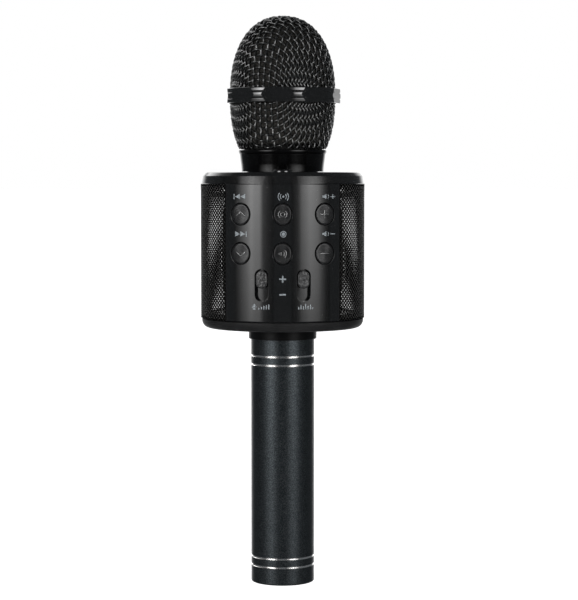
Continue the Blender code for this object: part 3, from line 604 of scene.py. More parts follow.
def make_screws():
    """Pan heads with a cross recess, on shanks with a ridge for each turn of the thread."""
    bottom, tip = low("base_screw_1").z, high("base_screw_1").z
    head, shank, pitch, thread_depth = 1.1 * MM, 1.2 * MM, 0.6 * MM, 0.2 * MM
    arm, half, depth = 1.35 * MM, 0.3 * MM, 0.8 * MM
    shoulder = bottom + head
    profile = [(0, bottom), (SCREW_HEAD_RADIUS, bottom, 0.5 * MM), (SCREW_HEAD_RADIUS, shoulder, 0.1 * MM)]
    profile.append((shank, shoulder))
    for k in range(int((tip - shoulder - MM) / pitch)):
        base = shoulder + 0.4 * MM + k * pitch
        profile += [(shank - thread_depth, base), (shank, base + pitch / 2)]
    profile += [(0.5 * MM, tip), (0, tip)]
    quarter = [(arm, -half), (arm, half), (half, half)]
    corners = []
    for _ in range(4):
        corners += quarter
        quarter = [(-y, x) for x, y in quarter]
    for i, name in enumerate(SCREWS):
        across, along, _ = axis(name)
        screw = turned(f"pan_screw_{i + 1}", profile, MATERIALS["bright_steel"], "housing",
                       [name], 48, axis_point=axis(name))
        cross = Shape()
        rings = []
        for z, share in ((bottom - MM, 1.0), (bottom, 1.0), (bottom + depth, 0.55)):
            rings.append(cross.ring([(across + share * x, along + share * y, z) for x, y in corners]))
        cross.tube(rings)
        cut(screw, cutter_from(f"cross_{i + 1}", cross))


def make_top_cover():
    bottom, top = low("top_cover").z, high("top_cover").z
    radius = high("top_cover").x
    hole, seam, shoulder, underside = 16.1 * MM, 176.55 * MM, 179.85 * MM, 179.0 * MM
    profile = [(radius, seam, 0.12 * MM), (radius - 0.6 * MM, shoulder, 0.12 * MM)]
    profile += [(radius - 2.0 * MM, top, 0.5 * MM), (hole, top, 0.2 * MM), (hole, underside)]
    profile += [(LIP_INNER, underside), (LIP_INNER, bottom), (LIP_OUTER, bottom), (LIP_OUTER, seam)]
    gloss = MATERIALS["cover_plastic"]
    cover = turned("top_shell", profile, gloss, "housing", ["top_cover"], 192, sharp=24)
    radius = POWER_KEY_RADIUS + GAP
    well = [(0, underside - MM), (radius, underside - MM), (radius, top - CHAMFER)]
    well += [(radius + CHAMFER, top), (radius + CHAMFER, top + MM), (0, top + MM)]
    holes = Shape()
    lathe(holes, well, 72, False, axis_point=axis("power_key"))
    cut(cover, cutter_from("power_well", holes))


def make_power_key():
    """A polished dome with its flange and stem under the cover."""
    peak, stem_low = high("power_key").z, low("power_key").z
    flange_radius = high("power_key").x - middle("power_key").x
    radius, cover_top = POWER_KEY_RADIUS, high("top_cover").z
    flange_top, flange_low, stem = 178.7 * MM, 177.7 * MM, 1.5 * MM
    side_power, top_power = 0.6, 0.5
    rise = peak - cover_top
    profile = [(0, peak)]
    for k in range(1, 13):
        angle = math.pi / 2 * k / 12
        height = cover_top + rise * math.cos(angle) ** top_power
        profile.append((radius * math.sin(angle) ** side_power, height))
    profile += [(radius, flange_top), (flange_radius, flange_top), (flange_radius, flange_low)]
    profile += [(stem, flange_low), (stem, stem_low), (0, stem_low)]
    turned("power_dome", profile, MATERIALS["gloss_plastic"], "power_key", ["power_key"], 96,
           axis_point=axis("power_key"), sharp=50)


# ---------------- curved panels


PANEL_WALL = 2.0 * MM


def bevelled(outline_of, radius, edge):
    """Loops down a rounded edge: pairs of an outline and the cylinder radius it lies on."""
    return [(outline_of(edge * inset), radius - edge * drop) for inset, drop in rounding(4)]


def inside(point, loop):
    """Whether a point lies inside a closed loop of (x, z) points."""
    x, z = point
    found = False
    for (x0, z0), (x1, z1) in zip(loop, loop[1:] + loop[:1]):
        if (z0 > z) != (z1 > z) and x < x0 + (z - z0) * (x1 - x0) / (z1 - z0):
            found = not found
    return found


def skin(shape, loops, numbers, grid, radius, facing):
    """Fills the region inside the first loop and outside the others, on a cylinder."""
    flat = [p for loop in loops for p in loop]
    edges = []
    for loop in loops:
        first = len(edges)
        edges += [(first + i, first + (i + 1) % len(loop)) for i in range(len(loop))]
    margin = 0.25 * MM

    def fits(point):
        if any(inside(point, loop) for loop in loops[1:]):
            return False
        return all(math.dist(point, corner) >= margin for loop in loops for corner in loop)

    kept = [point for point in grid if fits(point)]
    rim = [n for group in numbers for n in group]
    ids = rim + shape.ring(placed(kept, (0, 0), radius, facing))
    scaled = [Vector((x / MM, z / MM)) for x, z in flat + kept]
    _, _, triangles, origins, _, _ = delaunay_2d_cdt(scaled, edges, [], 0, 1e-6)
    for triangle in triangles:
        corners = [origins[v][0] for v in triangle]
        spot = [sum((flat + kept)[c][k] for c in corners) / 3 for k in (0, 1)]
        if any(inside(spot, loop) for loop in loops[1:]):
            continue
        shape.face([ids[c] for c in corners])


def make_panel(name, source, holes, facing):
    """A gloss panel curved like the housing. holes is a list of (outline function, centre)."""
    bottom, (right, _, top) = low(source).z, high(source)
    radius, edge, hole_edge = HOUSING_RADIUS, 0.3 * MM, 0.15 * MM
    half = math.asin(right / radius)
    columns, rows, grid_columns, grid_rows = 96, 48, 80, 60

    def frame_outline(inset):
        across = [radius * math.sin(half * (2 * i / columns - 1)) for i in range(columns + 1)]
        across = [x * (right - inset) / right for x in across]
        lower, upper = bottom + inset, top - inset
        heights = [lower + (upper - lower) * i / rows for i in range(rows + 1)]
        loop = [(x, lower) for x in across] + [(across[-1], z) for z in heights[1:-1]]
        return loop + [(x, upper) for x in reversed(across)] + [(across[0], z) for z in heights[-2:0:-1]]

    def hole_outline(shape_of, centre):
        return lambda inset: [(centre[0] + x, centre[1] + z) for x, z in shape_of(inset)]

    shape = Shape()
    normals, groups = {}, []
    families = [bevelled(frame_outline, radius, edge)]
    families += [bevelled(hole_outline(f, c), radius, hole_edge) for f, c in holes]
    for family in families:
        family.append((family[-1][0], radius - PANEL_WALL))
        rings = [shape.ring(placed(loop, (0, 0), r, facing)) for loop, r in family]
        groups.append(rings)
        shape.tube(rings, caps=False)
        wide, tight = [placed(loop, (0, 0), radius, facing) for loop in (family[0][0], family[-1][0])]
        for k, ring in enumerate(rings):
            roll = math.pi / 2 * min(k / (len(rings) - 2), 1)
            for index, start, end in zip(ring, wide, tight):
                outward = Vector((start[0], start[1], 0)).normalized()
                level = (Vector(end) - Vector(start)).normalized()
                normals[index] = outward * math.cos(roll) + level * math.sin(roll)
    spots = []
    for i in range(1, grid_columns):
        x = radius * math.sin(half * (2 * i / grid_columns - 1)) * (right - 2 * edge) / right
        spots += [(x, bottom + (top - bottom) * k / grid_rows) for k in range(1, grid_rows)]
    for end, grid, r in ((0, spots, radius), (-1, spots[::7], radius - PANEL_WALL)):
        loops = [family[end][0] for family in families]
        skin(shape, loops, [rings[end] for rings in groups], grid, r, facing)
    for index, (x, y, _) in enumerate(shape.points):
        if index not in normals:
            front = math.hypot(x, y) > radius - PANEL_WALL / 2
            normals[index] = Vector((x, y, 0)).normalized() * (1 if front else -1)
    looks = [tuple(normals[index]) for index in range(len(shape.points))]
    gloss = MATERIALS["gloss_plastic"]
    build(name, shape, gloss, "housing", [source], sharp=180, normals=looks)


def grown_oval(half_width, round_height, straight=0.0, sides=64):
    return lambda extra: oval(half_width + extra, round_height + extra, straight, sides)


def key_centre(name):
    spot = middle(name)
    return (spot.x, spot.z)


FRONT_KEYS = ["previous_key", "scan_key", "volume_up_key", "next_key", "record_key", "volume_down_key"]
REAR_KEYS = ["play_key", "mode_key"]
SLIDERS = ["mic_volume_knob", "remix_knob"]
KEY_HALF = (3.8 * MM, 4.5 * MM)
KEY_MARGIN = 0.35 * MM
KEY_RISE = 0.6 * MM
REAR_KEY_HALF = 3.0 * MM
SLOT_Z, SLOT_HALF_WIDTH, SLOT_STRAIGHT = 133.4 * MM, 2.85 * MM, 4.05 * MM
KNOB_Z, KNOB_HALF_WIDTH, KNOB_STRAIGHT = 135.9 * MM, 2.5 * MM, 1.35 * MM


def make_front_panel():
    key_hole = grown_oval(KEY_HALF[0] + KEY_MARGIN, KEY_HALF[1] + KEY_MARGIN)
    slot_hole = grown_oval(SLOT_HALF_WIDTH, SLOT_HALF_WIDTH, SLOT_STRAIGHT)
    holes = [(key_hole, key_centre(name)) for name in FRONT_KEYS]
    holes += [(slot_hole, (middle(name).x, SLOT_Z)) for name in SLIDERS]
    make_panel("front_panel", "control_panel", holes, -1)


def make_back_panel():
    key_hole = grown_oval(REAR_KEY_HALF + GAP, REAR_KEY_HALF + GAP, sides=48)
    holes = [(key_hole, key_centre(name)) for name in REAR_KEYS]
    openings = {
        "status_light": grown_oval(1.3 * MM, 1.3 * MM, sides=32),
        "charge_socket": grown_oval(4.5 * MM, 2.2 * MM),
        "audio_jack": grown_oval(3.6 * MM, 3.6 * MM, sides=48),
        "card_socket": grown_oval(7.2 * MM, 1.5 * MM),
    }
    holes += [(shape_of, key_centre(name)) for name, shape_of in openings.items()]
    make_panel("back_panel", "rear_panel", holes, 1)


# ---------------- keys and sliders


STEM_CLEARANCE = 0.8 * MM  # between a key's stem and the plunger of its switch, at rest


def crown(half, straight, top, edge, shares):
    """Outlines and their radii, from the middle of a cap's top and down over its rounded rim."""
    wide, tall = half
    levels = [([(0, 0)], top)]
    for share in shares:
        levels.append((oval(share * (wide - edge), share * (tall - edge), share * straight), top))
    for inset, drop in rounding(5)[1:]:
        levels.append((oval(wide - edge * inset, tall - edge * inset, straight), top - edge * drop))
    return levels


def make_key(node_name, half, flange_margin, facing):
    """A key cap with a rounded rim, its flange behind the panel and its stem."""
    centre = key_centre(node_name)
    top, edge, stem = HOUSING_RADIUS + KEY_RISE, 0.5 * MM, 1.5 * MM
    flange_front = HOUSING_RADIUS - PANEL_WALL - GAP
    flange_back = flange_front - 1.1 * MM
    switch = node_name.replace("_key", "_switch")
    stem_end = (-low(switch).y if facing < 0 else high(switch).y) + STEM_CLEARANCE
    flange, rod = oval(half[0] + flange_margin, half[1] + flange_margin), oval(stem, stem)
    levels = crown(half, 0.0, top, edge, (0.15, 0.3, 0.45, 0.6, 0.75, 0.9, 1.0))
    levels += [(oval(*half), flange_front), (flange, flange_front), (flange, flange_back), (rod, flange_back)]
    shape = Shape()
    rings = [shape.ring(placed(outline, centre, radius, facing)) for outline, radius in levels]
    rings.append(shape.ring(on_plane(rod, centre, stem_end, facing)))
    shape.tube(rings)
    origin = (centre[0], facing * top, centre[1])
    name = node_name.replace("_key", "_cap")
    build(name, shape, MATERIALS["key_plastic"], node_name, [node_name], origin)


def stadium(start, end, width):
    """The outline of a stroke with round ends."""
    sides = 20
    start, end = Vector(start), Vector(end)
    heading = (end - start).angle_signed(Vector((1, 0))) if (end - start).length > 1e-9 else 0.0
    points = []
    for i in range(sides):
        angle = -math.pi / 2 + math.tau * (i + 0.5) / sides
        base = end if math.cos(angle) > 0 else start
        turn = angle + heading
        points.append(tuple(base + width / 2 * Vector((math.cos(turn), math.sin(turn)))))
    return points


def emboss(node_name, strokes, facing):
    """Raised, polished strokes on a key's top, all in one piece. Each is (start, end) in millimetres."""
    centre = key_centre(node_name)
    top = HOUSING_RADIUS + KEY_RISE
    width, height, root = 0.46 * MM, 0.19 * MM, 0.08 * MM
    section = ((1.0, -root), (0.95, 0.3 * height), (0.65, 0.8 * height), (0.3, height))
    shape = Shape()
    for start, end in strokes:
        start, end = Vector(start) * MM, Vector(end) * MM
        rings = []
        for share, level in section:
            outline = stadium(start, end, share * width)
            rings.append(shape.ring(placed(outline, centre, top + level, facing)))
        shape.tube(rings)
    origin = (centre[0], facing * top, centre[1])
    name = node_name.replace("_key", "_symbol")
    build(name, shape, MATERIALS["key_edge"], node_name, origin=origin)


def ring_strokes(centre, radius, start, end, count):
    """Short strokes along an arc, with its angles in degrees."""
    points = []
    for i in range(count + 1):
        angle = math.radians(start + (end - start) * i / count)
        points.append((centre[0] + radius * math.cos(angle), centre[1] + radius * math.sin(angle)))
    return list(zip(points, points[1:]))


KEY_SYMBOLS = {
    "previous_key": [((-1.9, -0.6), (0, 1.0)), ((0, 1.0), (1.9, -0.6))],
    "next_key": [((-1.9, 0.6), (0, -1.0)), ((0, -1.0), (1.9, 0.6))],
    "volume_up_key": [((-1.7, 0), (1.7, 0)), ((0, -1.7), (0, 1.7))],
    "volume_down_key": [((-1.7, 0), (1.7, 0))],
    "scan_key": ring_strokes((0, 0), 0.9, 0, 360, 14) + ring_strokes((0, 0), 1.8, 130, 230, 6)
    + ring_strokes((0, 0), 1.8, -50, 50, 6),
    "record_key": [((-1.7, 0.2), (-0.6, 0.5)), ((-0.6, 0.5), (-0.6, -0.5)), ((-1.7, -0.2), (-0.6, -0.5))]
    + ring_strokes((-0.4, 0), 1.2, -50, 50, 5) + ring_strokes((-0.4, 0), 2.0, -50, 50, 7),
    "play_key": [((-0.7, -1.0), (-0.7, 1.0)), ((-0.7, 1.0), (1.1, 0)), ((1.1, 0), (-0.7, -1.0))],
    "mode_key": [((-1.1, 0.7), (1.1, 0.7)), ((-1.1, 0), (1.1, 0)), ((-1.1, -0.7), (1.1, -0.7))],
}


def make_keys():
    for name in FRONT_KEYS:
        make_key(name, KEY_HALF, 1.05 * MM, -1)
        emboss(name, KEY_SYMBOLS[name], -1)
    for name in REAR_KEYS:
        make_key(name, (REAR_KEY_HALF, REAR_KEY_HALF), 0.9 * MM, 1)
        emboss(name, [((-a[0], a[1]), (-b[0], b[1])) for a, b in KEY_SYMBOLS[name]], 1)


def make_slider(node_name, body):
    """A slider's knob, and the curved dust shield and lever that move with it."""
    centre = (middle(node_name).x, KNOB_Z)
    top, edge = HOUSING_RADIUS + 0.8 * MM, 0.55 * MM
    shield_front = HOUSING_RADIUS - PANEL_WALL - GAP
    shield_back = shield_front - 0.7 * MM
    corner, lever_end = 1.5 * MM, 24.0 * MM
    half_height = (high(node_name).z - low(node_name).z) / 2
    half_width = (high(node_name).x - low(node_name).x) / 2
    skirt = oval(KNOB_HALF_WIDTH, KNOB_HALF_WIDTH, KNOB_STRAIGHT)
    shield = oval(half_width, corner, half_height - corner)
    lever = oval(0.7 * MM, 0.7 * MM, 0.8 * MM)
    knob = (KNOB_HALF_WIDTH, KNOB_HALF_WIDTH)
    levels = crown(knob, KNOB_STRAIGHT, top, edge, (0.25, 0.5, 0.75, 1.0)) + [(skirt, shield_front)]
    levels += [(shield, shield_front), (shield, shield_back), (lever, shield_back)]
    shape = Shape()
    rings = [shape.ring(placed(outline, centre, radius, -1)) for outline, radius in levels]
    rings.append(shape.ring(on_plane(lever, centre, lever_end, -1)))
    shape.tube(rings[:-4], caps=False)
    shape.tube(rings[-5:], mark=1, caps=False)
    shape.face(rings[-1])
    origin = (centre[0], -top, centre[1])
    name = node_name.replace("_knob", "_slider_knob")
    looks = [MATERIALS["slider_plastic"], MATERIALS["gloss_plastic"]]
    build(name, shape, looks, body, [node_name], origin)


def make_sliders():
    for name in SLIDERS:
        make_slider(name, name.replace("_knob", "_slider"))


# ---------------- printed signs


def bars(start, heights, pitch, width):
    """Upright strokes standing on one line."""
    foot = -1.05
    places = [start + i * pitch for i in range(len(heights))]
    return [stadium((x, foot), (x, foot + height), width) for x, height in zip(places, heights)]


def arc_strokes(centre, radius, start, end, count, width):
    return [stadium(a, b, width) for a, b in ring_strokes(centre, radius, start, end, count)]


def disc(radius):
    return [(radius * c, radius * s) for c, s in circle(24)]


def loudspeaker():
    """A box, its horn and one wave."""
    back, front, mouth, low_edge, flare = -2.3, -1.6, -0.6, -0.45, -1.1
    box = [(back, low_edge), (front, low_edge), (front, -low_edge), (back, -low_edge)]
    horn = [(front, low_edge), (mouth, flare), (mouth, -flare), (front, -low_edge)]
    return [box, horn] + arc_strokes((mouth, 0), 1.0, -45, 45, 5, 0.3)


def sign_previous():
    left = [(-2.2, 0), (-0.1, 1.1), (-0.1, -1.1)]
    right = [(0.1, 0), (2.2, 1.1), (2.2, -1.1)]
    return [stadium((-2.6, -0.95), (-2.6, 0.95), 0.4), left, right]


def sign_next():
    return [[(-x, z) for x, z in reversed(shape)] for shape in sign_previous()]


def sign_scan():
    signs = [disc(0.45)]
    for radius in (1.3, 2.2):
        for start in (-42, 138):
            signs += arc_strokes((0, 0), radius, start, start + 84, 7, 0.36)
    return signs


def sign_minus(shift, reach, width):
    return [stadium((shift - reach, 0), (shift + reach, 0), width)]


def sign_plus(shift, reach, width):
    return sign_minus(shift, reach, width) + [stadium((shift, -reach), (shift, reach), width)]


def sign_record():
    return [disc(0.75)] + arc_strokes((0, 0), 1.2, 0, 360, 24, 0.32)


def sign_voice():
    """A small microphone and a rising row of bars."""
    signs = [stadium((-3.6, 0.0), (-3.6, 0.6), 0.95)] + arc_strokes((-3.6, 0.0), 0.85, 180, 360, 10, 0.28)
    signs += [stadium((-3.6, -0.9), (-3.6, -1.15), 0.28), stadium((-4.1, -1.2), (-3.1, -1.2), 0.28)]
    return signs + bars(-1.6, (0.3, 0.7, 1.1, 1.5, 1.9), 1.05, 0.45)


def sign_mixer():
    return bars(-3.0, (0.7, 1.6, 1.0, 2.0, 1.2, 1.7, 0.6), 1.0, 0.45)


def print_sign(name, outlines, spot):
    """Ink on the control panel: each outline becomes a thin plate that follows the panel."""
    rise, root = 0.03 * MM, 0.04 * MM
    levels = HOUSING_RADIUS - root, HOUSING_RADIUS + rise
    shape = Shape()
    for outline in outlines:
        outline = [(x * MM, z * MM) for x, z in outline]
        shape.tube([shape.ring(placed(outline, spot, radius, -1)) for radius in levels])
    build(name, shape, MATERIALS["ink"], "housing")


def make_signs():
    """Each sign's outlines, and the place of its middle in millimetres."""
    upper, central, lower = 171.1, 155.2, 124.4
    left, centre, right = -18.1, 0.3, 19.2
    signs = {
        "print_previous": (sign_previous(), left, upper),
        "print_scan": (sign_scan(), centre, upper),
        "print_louder": (loudspeaker() + sign_plus(2.2, 0.85, 0.4), right, upper),
        "print_next": (sign_next(), left, central),
        "print_record": (sign_record(), centre, central),
        "print_softer": (loudspeaker() + sign_minus(2.2, 0.85, 0.4), right, central),
        "print_voice": (sign_voice(), -8.5, lower),
        "print_mixer": (sign_mixer(), 9.8, lower),
        "print_plus": (sign_plus(0, 1.2, 0.62), 0, 136.1),
        "print_minus": (sign_minus(0, 1.1, 0.7), 0, 129.5),
    }
    for name, (outlines, x, z) in signs.items():
        print_sign(name, outlines, (x * MM, z * MM))


# ---------------- speaker grilles


def make_grille(name, source, side):
    """Punched sheet: round holes in a square pattern turned by 45 degrees. The metal left between
    them is domed, so each crossing of it catches the light. The slopes into the holes, the hole
    walls, the back and the cells along the border are near black without shine: painted shade."""
    radius = high(source).x if side > 0 else -low(source).x
    bottom, top = low(source).z, high(source).z
    wall, hole, crest, dome_depth = 0.5 * MM, 0.58 * MM, 0.645 * MM, 0.12 * MM
    front = math.degrees(math.asin(high("control_panel").x / radius)) + math.degrees(GAP / radius)
    back = 180 - math.degrees(math.asin(high("rear_panel").x / radius)) - math.degrees(GAP / radius)
    length = math.radians(back - front) * radius
    step = 0.955 * MM
    columns, rows = round(length / step / 2) * 2, round((top - bottom) / step / 2) * 2
    wide, tall = length / columns, (top - bottom) / rows
    reach = (wide + tall) / 2 - hole

    def dip(r):
        """How far the surface is below the crest at a distance from the middle of a hole."""
        return dome_depth * ((reach + hole - r) / reach) ** 2

    notch, round_hole = dip(math.hypot(wide, tall) / 2), circle(8)
    shape = Shape()
    known = {}

    def numbers(spots):
        """The numbers of the points that lie at (distance round, height, depth), each made once."""
        found = []
        for u, v, depth in spots:
            key = (round(u / MM, 4), round(v / MM, 4), depth)
            if key not in known:
                azimuth = side * (front + math.degrees(u / radius))
                known[key] = shape.ring([around(azimuth, radius - depth, bottom + v)])[0]
            found.append(known[key])
        return found

    def border_cell(diamond):
        """The part of a diamond that is inside the sheet, without a hole."""
        skin_spots = []
        for u, v, depth in diamond:
            within = 0 <= u <= length and 0 <= v <= top - bottom
            if within or depth == 0:
                u, v = min(max(u, 0), length), min(max(v, 0), top - bottom)
                skin_spots.append((u, v, depth if within else 0))
        # Border cells take the near-black material without shine, front and back: painted shade.
        for loop in (numbers(skin_spots), numbers([(u, v, wall) for u, v, _ in skin_spots])):
            loop = list(dict.fromkeys(loop))
            if len(loop) > 2:
                shape.face(loop, 1)

    def cell(u, v, on_border):
        corners = [(u + wide, v), (u, v + tall), (u - wide, v), (u, v - tall)]
        diamond = []
        for (a, b), (c, d) in zip(corners, corners[1:] + corners[:1]):
            diamond += [(a, b, 0), ((a + c) / 2, (b + d) / 2, notch)]
        if on_border:
            border_cell(diamond)
            return
        rings = [numbers(diamond)]
        for r, depth in ((crest, dip(crest)), (hole, dome_depth), (hole, wall)):
            rings.append(numbers([(u + r * c, v + r * s, depth) for c, s in round_hole]))
        rings.append(numbers([(a, b, wall) for a, b, _ in diamond]))
        # Only the land out to the crest keeps the steel; the slope into the hole, the hole wall and the back
        # are painted shade.
        for look, first, second in zip((0, 1, 1, 1), rings, rings[1:]):
            shape.bridge(first, second, look)

    for j in range(rows + 1):
        for i in range(j % 2, columns + 1, 2):
            cell(i * wide, j * tall, not (0 < i < columns and 0 < j < rows))
    backs = {(u, v): index for (u, v, depth), index in known.items() if depth == wall}
    fronts = {index: backs.get((u, v)) for (u, v, depth), index in known.items() if depth != wall}
    close_border(shape, fronts)
    # The second material is the painted shade of the holes, the back and the border.
    looks = [MATERIALS["black_steel"], MATERIALS["painted_hole_shade"]]
    build(name, shape, looks, "housing", [source], sharp=35)


def make_grilles():
    make_grille("right_mesh", "right_speaker_grille", 1)
    make_grille("left_mesh", "left_speaker_grille", -1)


def close_border(shape, behind):
    """Walls along the open outer edges. behind gives the back skin's point for each front one."""
    edges = Counter()
    for face in shape.faces:
        edges.update(frozenset(edge) for edge in zip(face, face[1:] + face[:1]))
    for a, b in [tuple(edge) for edge, uses in edges.items() if uses == 1]:
        if behind.get(a) is not None and behind.get(b) is not None:
            shape.face([a, b, behind[b], behind[a]])


# ---------------- neck and band


def make_collar():
    bottom, top = low("neck_collar").z, high("neck_collar").z
    foot, lip = 181.8 * MM, high("neck_collar").x
    bore, lead_hole, floor_low, floor_top = 17.3 * MM, 4.0 * MM, 181.4 * MM, 183.0 * MM
    spigot_outer, spigot_inner = 15.8 * MM, 14.2 * MM
    profile = [(lead_hole, floor_top), (bore, floor_top), (bore, top - 0.7 * MM), (bore + 0.3 * MM, top)]
    profile += [(lip, top, 0.55 * MM), (lip, top - 1.1 * MM, 0.4 * MM)]
    profile += [(lip - 0.5 * MM, top - 1.9 * MM, 0.3 * MM)]
    waist, waist_top = 18.1 * MM, 182.6 * MM
    profile += [(waist + 0.45 * MM, waist_top + 4.0 * MM), (waist + 0.15 * MM, waist_top + 1.8 * MM)]
    profile += [(waist, waist_top), (waist, foot)]
    profile += [(spigot_outer, foot), (spigot_outer, bottom), (spigot_inner, bottom)]
    profile += [(spigot_inner, floor_low), (lead_hole, floor_low)]
    gloss = MATERIALS["neck_plastic"]
    turned("neck_flare", profile, gloss, "housing", ["neck_collar"], 160, sharp=40)


def make_band():
    """A ring whose ridged section is cut by nine flats, which leaves long hexagons round it."""
    bottom, top = low("grille_band").z, high("grille_band").z
    centre, half = BAND_CENTRE, (top - bottom) / 2
    flats, first_flat = 9, -5.5
    ridge, edge, flat, bore = 25.5 * MM, 25.25 * MM, 24.5 * MM, 23.6 * MM
    flat_flare = 0.25 * MM
    groove_at, groove_half, groove_depth = 1.35 * MM, 0.3 * MM, 0.35 * MM
    corner = 0.35 * MM
    columns, rows = 1080, 44

    def section(height):
        share = abs(height) / half
        radius = ridge + (edge - ridge) * share
        for middle_height in (-groove_at, groove_at):
            near = (height - middle_height) / groove_half
            if abs(near) < 1:
                radius -= groove_depth * (math.cos(math.pi * near) + 1) / 2
        into_corner = abs(height) - (half - corner)
        if into_corner > 0:
            radius -= corner - math.sqrt(max(corner**2 - into_corner**2, 0))
        return radius

    heights = [half * math.sin(math.pi / 2 * (2 * j / rows - 1)) for j in range(rows + 1)]
    sections = [section(h) for h in heights]
    shape = Shape()
    rings = [[] for _ in range(rows + 3)]
    for i in range(columns):
        azimuth = 360 * i / columns
        turn = (azimuth - first_flat + 180 / flats) % (360 / flats) - 180 / flats
        for j, height in enumerate(heights):
            drop = max(abs(height) - (half - corner), 0)
            cut_radius = (flat + flat_flare * abs(height) / half) / math.cos(math.radians(turn))
            limit = cut_radius - (corner - math.sqrt(max(corner**2 - drop**2, 0)))
            rings[j] += shape.ring([around(azimuth, min(sections[j], limit), centre + height)])
        rings[rows + 1] += shape.ring([around(azimuth, bore, centre + half)])
        rings[rows + 2] += shape.ring([around(azimuth, bore, centre - half)])
    for first, second in zip(rings, rings[1:] + rings[:1]):
        shape.bridge(first, second)
    build("head_band", shape, MATERIALS["gloss_plastic"], "head", ["grille_band"], sharp=60)


# ---------------- woven head


class Dome:
    """Half of a body of revolution, drawn up from a flat sheet of woven wire. Heights are counted from
    its widest ring and the pole is at the height."""

    def __init__(self, radius, height, power, stretch=0.2):
        self.radius, self.height, self.power, self.stretch = radius, height, power, stretch

    def level(self, p):
        rho = np.hypot(p[0], p[1]) / self.radius
        rise = abs(p[2]) / self.height
        return rho**self.power + rise**self.power - 1

    def slopes(self, points):
        """The gradient of the level at each row of points."""
        rho = np.maximum(np.hypot(points[:, 0], points[:, 1]), 1e-9)
        across = self.power * (rho / self.radius) ** (self.power - 1) / self.radius
        up = self.power * (np.abs(points[:, 2]) / self.height) ** (self.power - 1) / self.height
        flat = across[:, None] * points[:, :2] / rho[:, None]
        return np.column_stack([flat, np.sign(points[:, 2]) * up])

    def normals(self, points):
        found = self.slopes(points)
        return found / np.linalg.norm(found, axis=1)[:, None]

    def meridian(self, pitch, count):
        """Points at equal steps of the pitch, from the pole down a meridian in the XZ plane."""
        angle = math.pi / 2
        here = np.array([0.0, 0.0, self.height])
        points = [here]
        for _ in range(count):
            near, far = angle - 0.6, angle
            side = self.cell(here, pitch)
            for _ in range(40):
                guess = (near + far) / 2
                spot = self.on_meridian(guess)
                if np.linalg.norm(spot - here) > side:
                    near = guess
                else:
                    far = guess
            angle = (near + far) / 2
            here = self.on_meridian(angle)
            points.append(here)
        return points

    def cell(self, spot, pitch):
        """The side of the cells near a point: the sheet is stretched where the crown was pressed."""
        return pitch * (1 + self.stretch * max(spot[2], 0) / self.height)

    def on_meridian(self, angle):
        c, s = math.cos(angle), math.sin(angle)
        x = self.radius * math.copysign(abs(c) ** (2 / self.power), c)
        z = self.height * math.copysign(abs(s) ** (2 / self.power), s)
        return np.array([x, 0.0, z])


def woven_net(dome, pitch, count):
    """Where the wires of a square weave cross after it is drawn over a dome: every cell keeps its four
    equal sides and shears. One quarter is worked out, and the others are turned copies of it."""
    spine, lowest = dome.meridian(pitch, count), -6 * MM
    net = np.full((count + 1, count + 1, 3), np.nan)
    for i, p in enumerate(spine):
        net[i, 0] = p
        net[0, i] = (0.0, p[0], p[2])
    for i in range(1, count + 1):
        for j in range(1, count + 1):
            back, left, right = net[i - 1, j - 1], net[i - 1, j], net[i, j - 1]
            if np.isnan(left).any() or np.isnan(right).any():
                continue
            spot = left + right - back
            sides = [dome.cell(neighbour, pitch) for neighbour in (left, right)]
            for _ in range(25):
                gaps = [spot - left, spot - right]
                errors = [np.dot(gap, gap) - side**2 for gap, side in zip(gaps, sides)]
                errors = np.array([*errors, dome.level(spot) * pitch**2])
                slope = dome.slopes(spot[None])[0]
                rows = np.stack([2 * gaps[0], 2 * gaps[1], slope * pitch**2])
                try:
                    move = np.linalg.solve(rows, errors)
                except np.linalg.LinAlgError:
                    break
                spot = spot - np.clip(move, -pitch / 2, pitch / 2)
            solved = abs(errors).max() < 1e-10 and spot[2] > lowest
            if solved and np.dot(spot - back, spot - back) > (0.5 * pitch) ** 2:
                net[i, j] = spot
    return net


def crossing(net, i, j):
    """A crossing of the whole net, from its quarter: i and j may be negative."""
    spot = net[abs(i), abs(j)].copy()
    spot[0] *= 1 if i >= 0 else -1
    spot[1] *= 1 if j >= 0 else -1
    return spot


def stretches(items, good, least):
    """The unbroken rows of good items that hold at least so many."""
    rows = [list(group) for fits, group in itertools.groupby(items, good) if fits]
    return [row for row in rows if len(row) >= least]


def weave_family(net, count, along_first, over):
    """Centre lines of one family of wires, each a list of (crossing, sign of its lift)."""
    span = range(-count, count + 1)
    lines = []
    for i in span:
        places = [(i, j) if along_first else (j, i) for j in span]
        spots = [(crossing(net, a, b), over * (1 if (a + b) % 2 else -1)) for a, b in places]
        lines += stretches(spots, lambda spot: not np.isnan(spot[0]).any(), 3)
    return lines


def wire_path(dome, run, lift):
    """A smooth wavy line through the crossings, and the dome's normals along it. The four h values are
    the weights of a Hermite curve between two crossings."""
    spots = np.array([p for p, _ in run])
    signs = np.array([s for _, s in run], float)
    before = np.vstack([2 * spots[:1] - spots[1:2], spots[:-1]])
    after = np.vstack([spots[1:], 2 * spots[-1:] - spots[-2:-1]])
    slopes = (after - before) / 2
    steps, points, waves = 6, [], []
    for k in range(len(spots) - 1):
        for t in np.arange(steps) / steps:
            h00, h10 = 2 * t**3 - 3 * t**2 + 1, t**3 - 2 * t**2 + t
            h01, h11 = -2 * t**3 + 3 * t**2, t**3 - t**2
            points.append(h00 * spots[k] + h10 * slopes[k] + h01 * spots[k + 1] + h11 * slopes[k + 1])
            waves.append(signs[k] * math.cos(math.pi * t))
    points.append(spots[-1])
    waves.append(signs[-1])
    points = np.array(points)
    normals = dome.normals(points)
    return points + normals * (lift * np.array(waves))[:, None], normals


